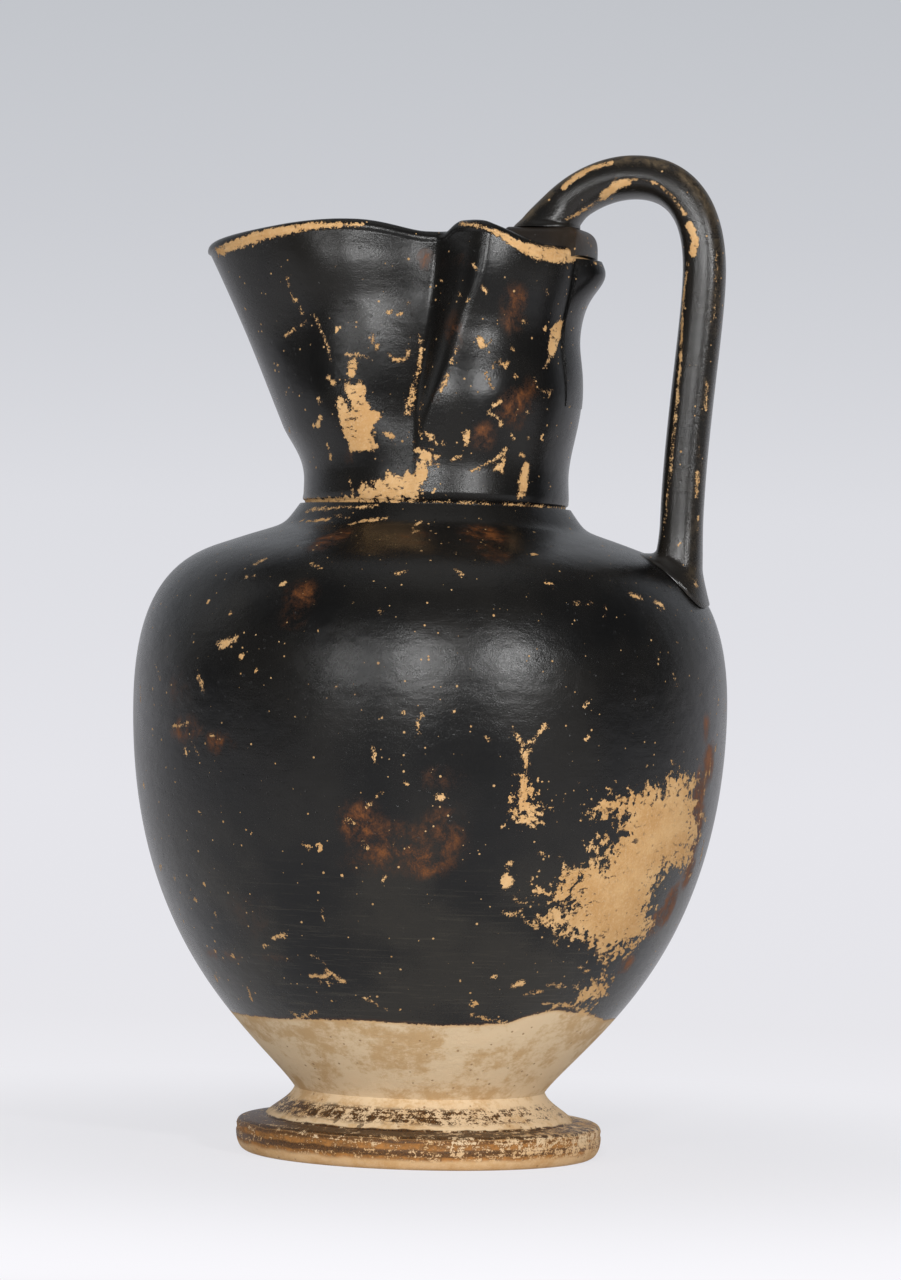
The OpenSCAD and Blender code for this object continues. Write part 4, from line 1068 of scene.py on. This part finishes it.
def footFinish():
    finish, recipe = newFinish("footClay")
    spot = recipe.spot()
    z = spot.part("Z")
    torn = recipe.noise(spot, 0.5, 7.0, 0.7)
    fine = recipe.noise(spot, 2.4, 4.0, 0.62)
    brush = recipe.noise(spot * (0.10, 0.10, 1.6), 1.0, 5.0, 0.72)
    side = recipe.attribute("side")  # 1 where the bands are kept, 0 where they are worn off
    worn = (torn - 0.5) * 5.5 + (fine - 0.5) * 3.5 + (brush - 0.5) * 3.0 + side * 1.0 - 0.72
    z = z + (recipe.noise(spot, 0.12, 3.0) - 0.5) * 1.6

    def band(low, high, soft, gain, strength):
        kept = (worn + gain).rise(-0.12, 0.22) * strength
        return z.rise(low - soft, low + soft) * z.rise(high + soft, high - soft) * kept

    stain = band(*foot["stain"])
    cover = band(*foot["bands"][0])
    for edges in foot["bands"][1:]:
        cover = cover.over(band(*edges))
    earth, pit = clayColour(recipe, (0.85 - stain * 0.8).under(z.rise(3.0, 9.0) + 0.35))
    colour = recipe.tint(stain, earth, recipe.tint(torn.rise(0.36, 0.66), foot["paintBrown"], foot["orange"]))
    paint = recipe.tint(fine.rise(0.42, 0.62), foot["paint"], foot["paintBrown"])
    cover = cover * (1.0 - recipe.attribute("under"))
    near, pick = recipe.cells(spot + recipe.noise(spot, 1.3, 2.0) * 2.0, 0.30)
    fleck = (pick.part("X") ** 3.0 * 0.25 + 0.02 - near).rise(0.0, 0.03)
    fleck = fleck * z.rise(7.0, 8.5) * z.rise(15.0, 12.5)
    cover = cover.over(fleck * 0.75)
    colour = recipe.tint(cover, colour, paint)
    wheel = recipe.noise(spot * (0.02, 0.02, 1.0), 2.2, 4.0, 0.7)
    height = wheel * 0.05 + fine * 0.05 + torn * 0.10 + cover * 0.02 - pit * 0.08
    roughness = 0.74 - cover * 0.30 + (fine - 0.5) * 0.1
    return closeFinish(finish, recipe, colour, roughness, recipe.bump(height, 1.0),
                       {"IOR": 1.5, "Specular IOR Level": 0.25})


def makeFoot():
    near = foot["spacing"]
    line = joinRuns(evenBezier(foot["edgeLow"], near), evenBezier(foot["edgeTop"], near),
                    walkLine([foot["edgeTop"][-1], foot["rise"][0]], near), evenBezier(foot["rise"], near),
                    walkLine([foot["rise"][-1], foot["under"][0]], 2), evenBezier(foot["under"], 1.6),
                    walkLine([foot["under"][-1], foot["edgeLow"][0]], 1.5))
    # a scraped line round the edge and one where the top meets the rise
    depth, middle, wide = foot["edgeScrape"]
    line[:, 0] -= np.where(line[:, 0] > 43, depth * bell((line[:, 1] - middle) / wide), 0)
    depth, middle, wide = foot["topScrape"]
    onTop = (line[:, 1] > 7) & (line[:, 0] > 30.5)
    line[:, 1] -= np.where(onTop, depth * bell((line[:, 0] - middle) / wide), 0)
    piece = turnOnWheel("jugFoot", line, footFinish(), foot["columns"])
    at = spots(piece.data) / mm
    angle, r = angleOf(at), np.hypot(at[:, 0], at[:, 1])
    keepField(piece, "side", 0.5 + 0.5 * np.cos(np.radians(turnGap(angle, -125))))
    recess = r < np.interp(at[:, 2], *zip(*foot["recess"]))
    keepField(piece, "under", ((at[:, 2] < 0.25) | recess) * 1.0)
    ready(piece, "foot", "foot")
    return piece


# studio: pale sweep that glows with a painted light falloff, soft lamps, camera level with the middle of the
# jug
studio = {
    "depth": 900.0, "bend": 260.0, "tall": 1400.0, "wide": 4200.0, "front": 1600.0,  # the sweep
    "matt": (0.85, 0.85, 0.86, 1.0), "shadow": 0.78, "shadowFrom": 240.0, "shadowTo": 70.0,
    "greysFrom": -1300.0, "greysTo": 1350.0,
    "far": 1258.0, "height": 126.6, "azimuth": 15.0, "lean": 1.55,  # where the camera stands
    "lens": 147.4, "shift": (0.01432, -0.01157),
    "ambient": 0.11, "aim": 120.0,  # light from all round, and the height the lamps look at
    # painted light falloff of the glowing sweep: dark at the front of the floor, brightest just behind the
    # jug, greyer up the wall
    "paintedFalloffGreys": [  # place from the front of the floor to the top of the wall, red, green, blue
        (0.0, 0.10, 0.10, 0.10), (0.19, 0.32, 0.32, 0.33), (0.32, 0.62, 0.62, 0.64),
        (0.396, 0.949, 0.940, 0.975), (0.493, 0.863, 0.860, 0.895), (0.65, 0.80, 0.795, 0.83),
        (0.819, 0.785, 0.783, 0.825), (0.891, 0.72, 0.725, 0.765), (0.94, 0.60, 0.612, 0.65),
        (1.0, 0.50, 0.52, 0.553)],
    "lamps": [  # azimuth from the camera to the right, elevation, distance, size, watts
        (-4, 14, 1500, 120, 140, 10.0), (31, 15, 1400, 110, 150, 9.0), (-31, 12, 1500, 130, 130, 3.6),
        (-100, 30, 1500, 500, 900, 0.9), (0, 88, 1200, 900, 900, 1.2)],
}


def makeSweep():
    finish, recipe = newFinish("paleSweep")
    spot = recipe.spot()
    turn = math.radians(studio["azimuth"])
    # along the sweep: how far behind the jug, plus the height of the wall
    behind = spot.part("Y") * math.cos(turn) - spot.part("X") * math.sin(turn)
    along = behind + spot.part("Z")
    place = recipe.node("ShaderNodeMapRange", {}, {"Value": along, "From Min": studio["greysFrom"],
                                                   "From Max": studio["greysTo"]})
    ramp = recipe.node("ShaderNodeValToRGB", {}, {"Fac": place.outputs[0]})
    while len(ramp.color_ramp.elements) < len(studio["paintedFalloffGreys"]):
        ramp.color_ramp.elements.new(0.5)
    for element, (place, *colour) in zip(ramp.color_ramp.elements, studio["paintedFalloffGreys"]):
        element.position, element.color = place, (*colour, 1.0)
    # the sweep glows in this painted light falloff, which also shows in the jug's reflections
    paintedFalloff = Field(recipe, ramp.outputs[0])
    matt = recipe.node("ShaderNodeBsdfDiffuse", {}, {"Color": studio["matt"]})
    glow = recipe.node("ShaderNodeEmission", {}, {"Color": paintedFalloff, "Strength": 1.0})
    light = recipe.node("ShaderNodeLightPath", {}, {})
    seen = Field(recipe, light.outputs["Is Camera Ray"]).over(Field(recipe, light.outputs["Is Glossy Ray"]))
    seen = seen.over(Field(recipe, light.outputs["Is Transmission Ray"]))
    node = recipe.node("ShaderNodeVectorMath", {"operation": "LENGTH"}, {0: spot * (1.0, 1.0, 0.0)})
    away = Field(recipe, node.outputs["Value"])
    # near the jug part of the floor's own light shows, with the jug's shadow in it
    amount = seen * blend(studio["shadow"], 1.0, away.rise(studio["shadowTo"], studio["shadowFrom"]))
    mixed = recipe.node("ShaderNodeMixShader", {}, {"Fac": amount, 1: matt.outputs[0], 2: glow.outputs[0]})
    # one-sided, so that the jug is also seen from behind the wall
    side = recipe.node("ShaderNodeNewGeometry", {}, {})
    clear = recipe.node("ShaderNodeBsdfTransparent", {}, {"Color": (1.0, 1.0, 1.0, 1.0)})
    oneSided = recipe.node("ShaderNodeMixShader", {}, {"Fac": side.outputs["Backfacing"],
                                                       1: mixed.outputs[0], 2: clear.outputs[0]})
    recipe.node("ShaderNodeOutputMaterial", {}, {"Surface": oneSided.outputs[0]})
    depth, bend = studio["depth"], studio["bend"]
    line = [(-studio["front"], 0.0), (depth - bend, 0.0)]
    line += [(depth - bend + bend * math.sin(t), bend - bend * math.cos(t))
             for t in np.linspace(0, math.pi / 2, 24)[1:]]
    line += [(depth, studio["tall"])]
    half = studio["wide"] / 2
    c, s = math.cos(turn), math.sin(turn)
    points = [((u * c - b * s) * mm, (u * s + b * c) * mm, z * mm) for b, z in line for u in (-half, half)]
    mesh = bpy.data.meshes.new("sweep")
    mesh.from_pydata(points, [], [(2 * i, 2 * i + 1, 2 * i + 3, 2 * i + 2) for i in range(len(line) - 1)])
    mesh.shade_smooth()
    mesh.materials.append(finish)
    sweep = putInScene("sweep", mesh)


def makeLamps():
    base = studio["azimuth"] - 90
    for i, (side, up, away, wide, tall, watts) in enumerate(studio["lamps"]):
        lamp = bpy.data.lights.new("softLamp%d" % i, "AREA")
        lamp.shape, lamp.size, lamp.size_y, lamp.energy = "RECTANGLE", wide * mm, tall * mm, watts
        holder = putInScene("softLamp%d" % i, lamp)
        a, e = math.radians(base + side), math.radians(up)
        at = np.array([math.cos(e) * math.cos(a), math.cos(e) * math.sin(a), math.sin(e)]) * away
        at[2] += studio["aim"]
        holder.location = tuple(at * mm)
        look = np.array([0, 0, studio["aim"]]) - at
        z = -look / np.linalg.norm(look)
        x = np.cross((0, 0, 1.0), z)
        x /= np.linalg.norm(x)
        y = np.cross(z, x)
        holder.rotation_euler = matrixOf(x, y, z).to_euler()
    world = bpy.data.worlds.new("roomLight")
    bpy.context.scene.world = world
    world.use_nodes = True
    tree = world.node_tree
    tree.nodes.clear()
    recipe = Recipe(tree)
    room = recipe.node("ShaderNodeBackground", {}, {"Color": (1.0, 1.0, 1.0, 1.0),
                                                    "Strength": studio["ambient"]})
    recipe.node("ShaderNodeOutputWorld", {}, {"Surface": room.outputs[0]})


def matrixOf(x, y, z):
    return Matrix(((x[0], y[0], z[0]), (x[1], y[1], z[1]), (x[2], y[2], z[2])))


def makeCamera():
    az, lean = math.radians(studio["azimuth"]), math.radians(studio["lean"])
    flat, up = np.array([math.cos(az), math.sin(az), 0]), np.array([0, 0, 1.0])
    x = flat * math.cos(lean) + up * math.sin(lean)
    y = up * math.cos(lean) - flat * math.sin(lean)
    camera = bpy.data.cameras.new("jugCamera")
    camera.sensor_width, camera.sensor_fit, camera.lens = 36.0, "AUTO", studio["lens"]
    camera.shift_x, camera.shift_y = studio["shift"]
    camera.clip_start, camera.clip_end = 0.05, 20.0
    holder = putInScene("jugCamera", camera)
    apart = studio["far"] * mm
    holder.location = (apart * math.sin(az), -apart * math.cos(az), studio["height"] * mm)
    holder.rotation_euler = matrixOf(x, y, np.cross(x, y)).to_euler()
    bpy.context.scene.camera = holder


bpy.context.scene.view_settings.view_transform = "Standard"
makeSweep()
makeLamps()
makeCamera()
print("studio ready")
makeBody()
makeNeck()
makePad()
makeSpur()
makeHandle()
makeFoot()
print("jug pieces ready")
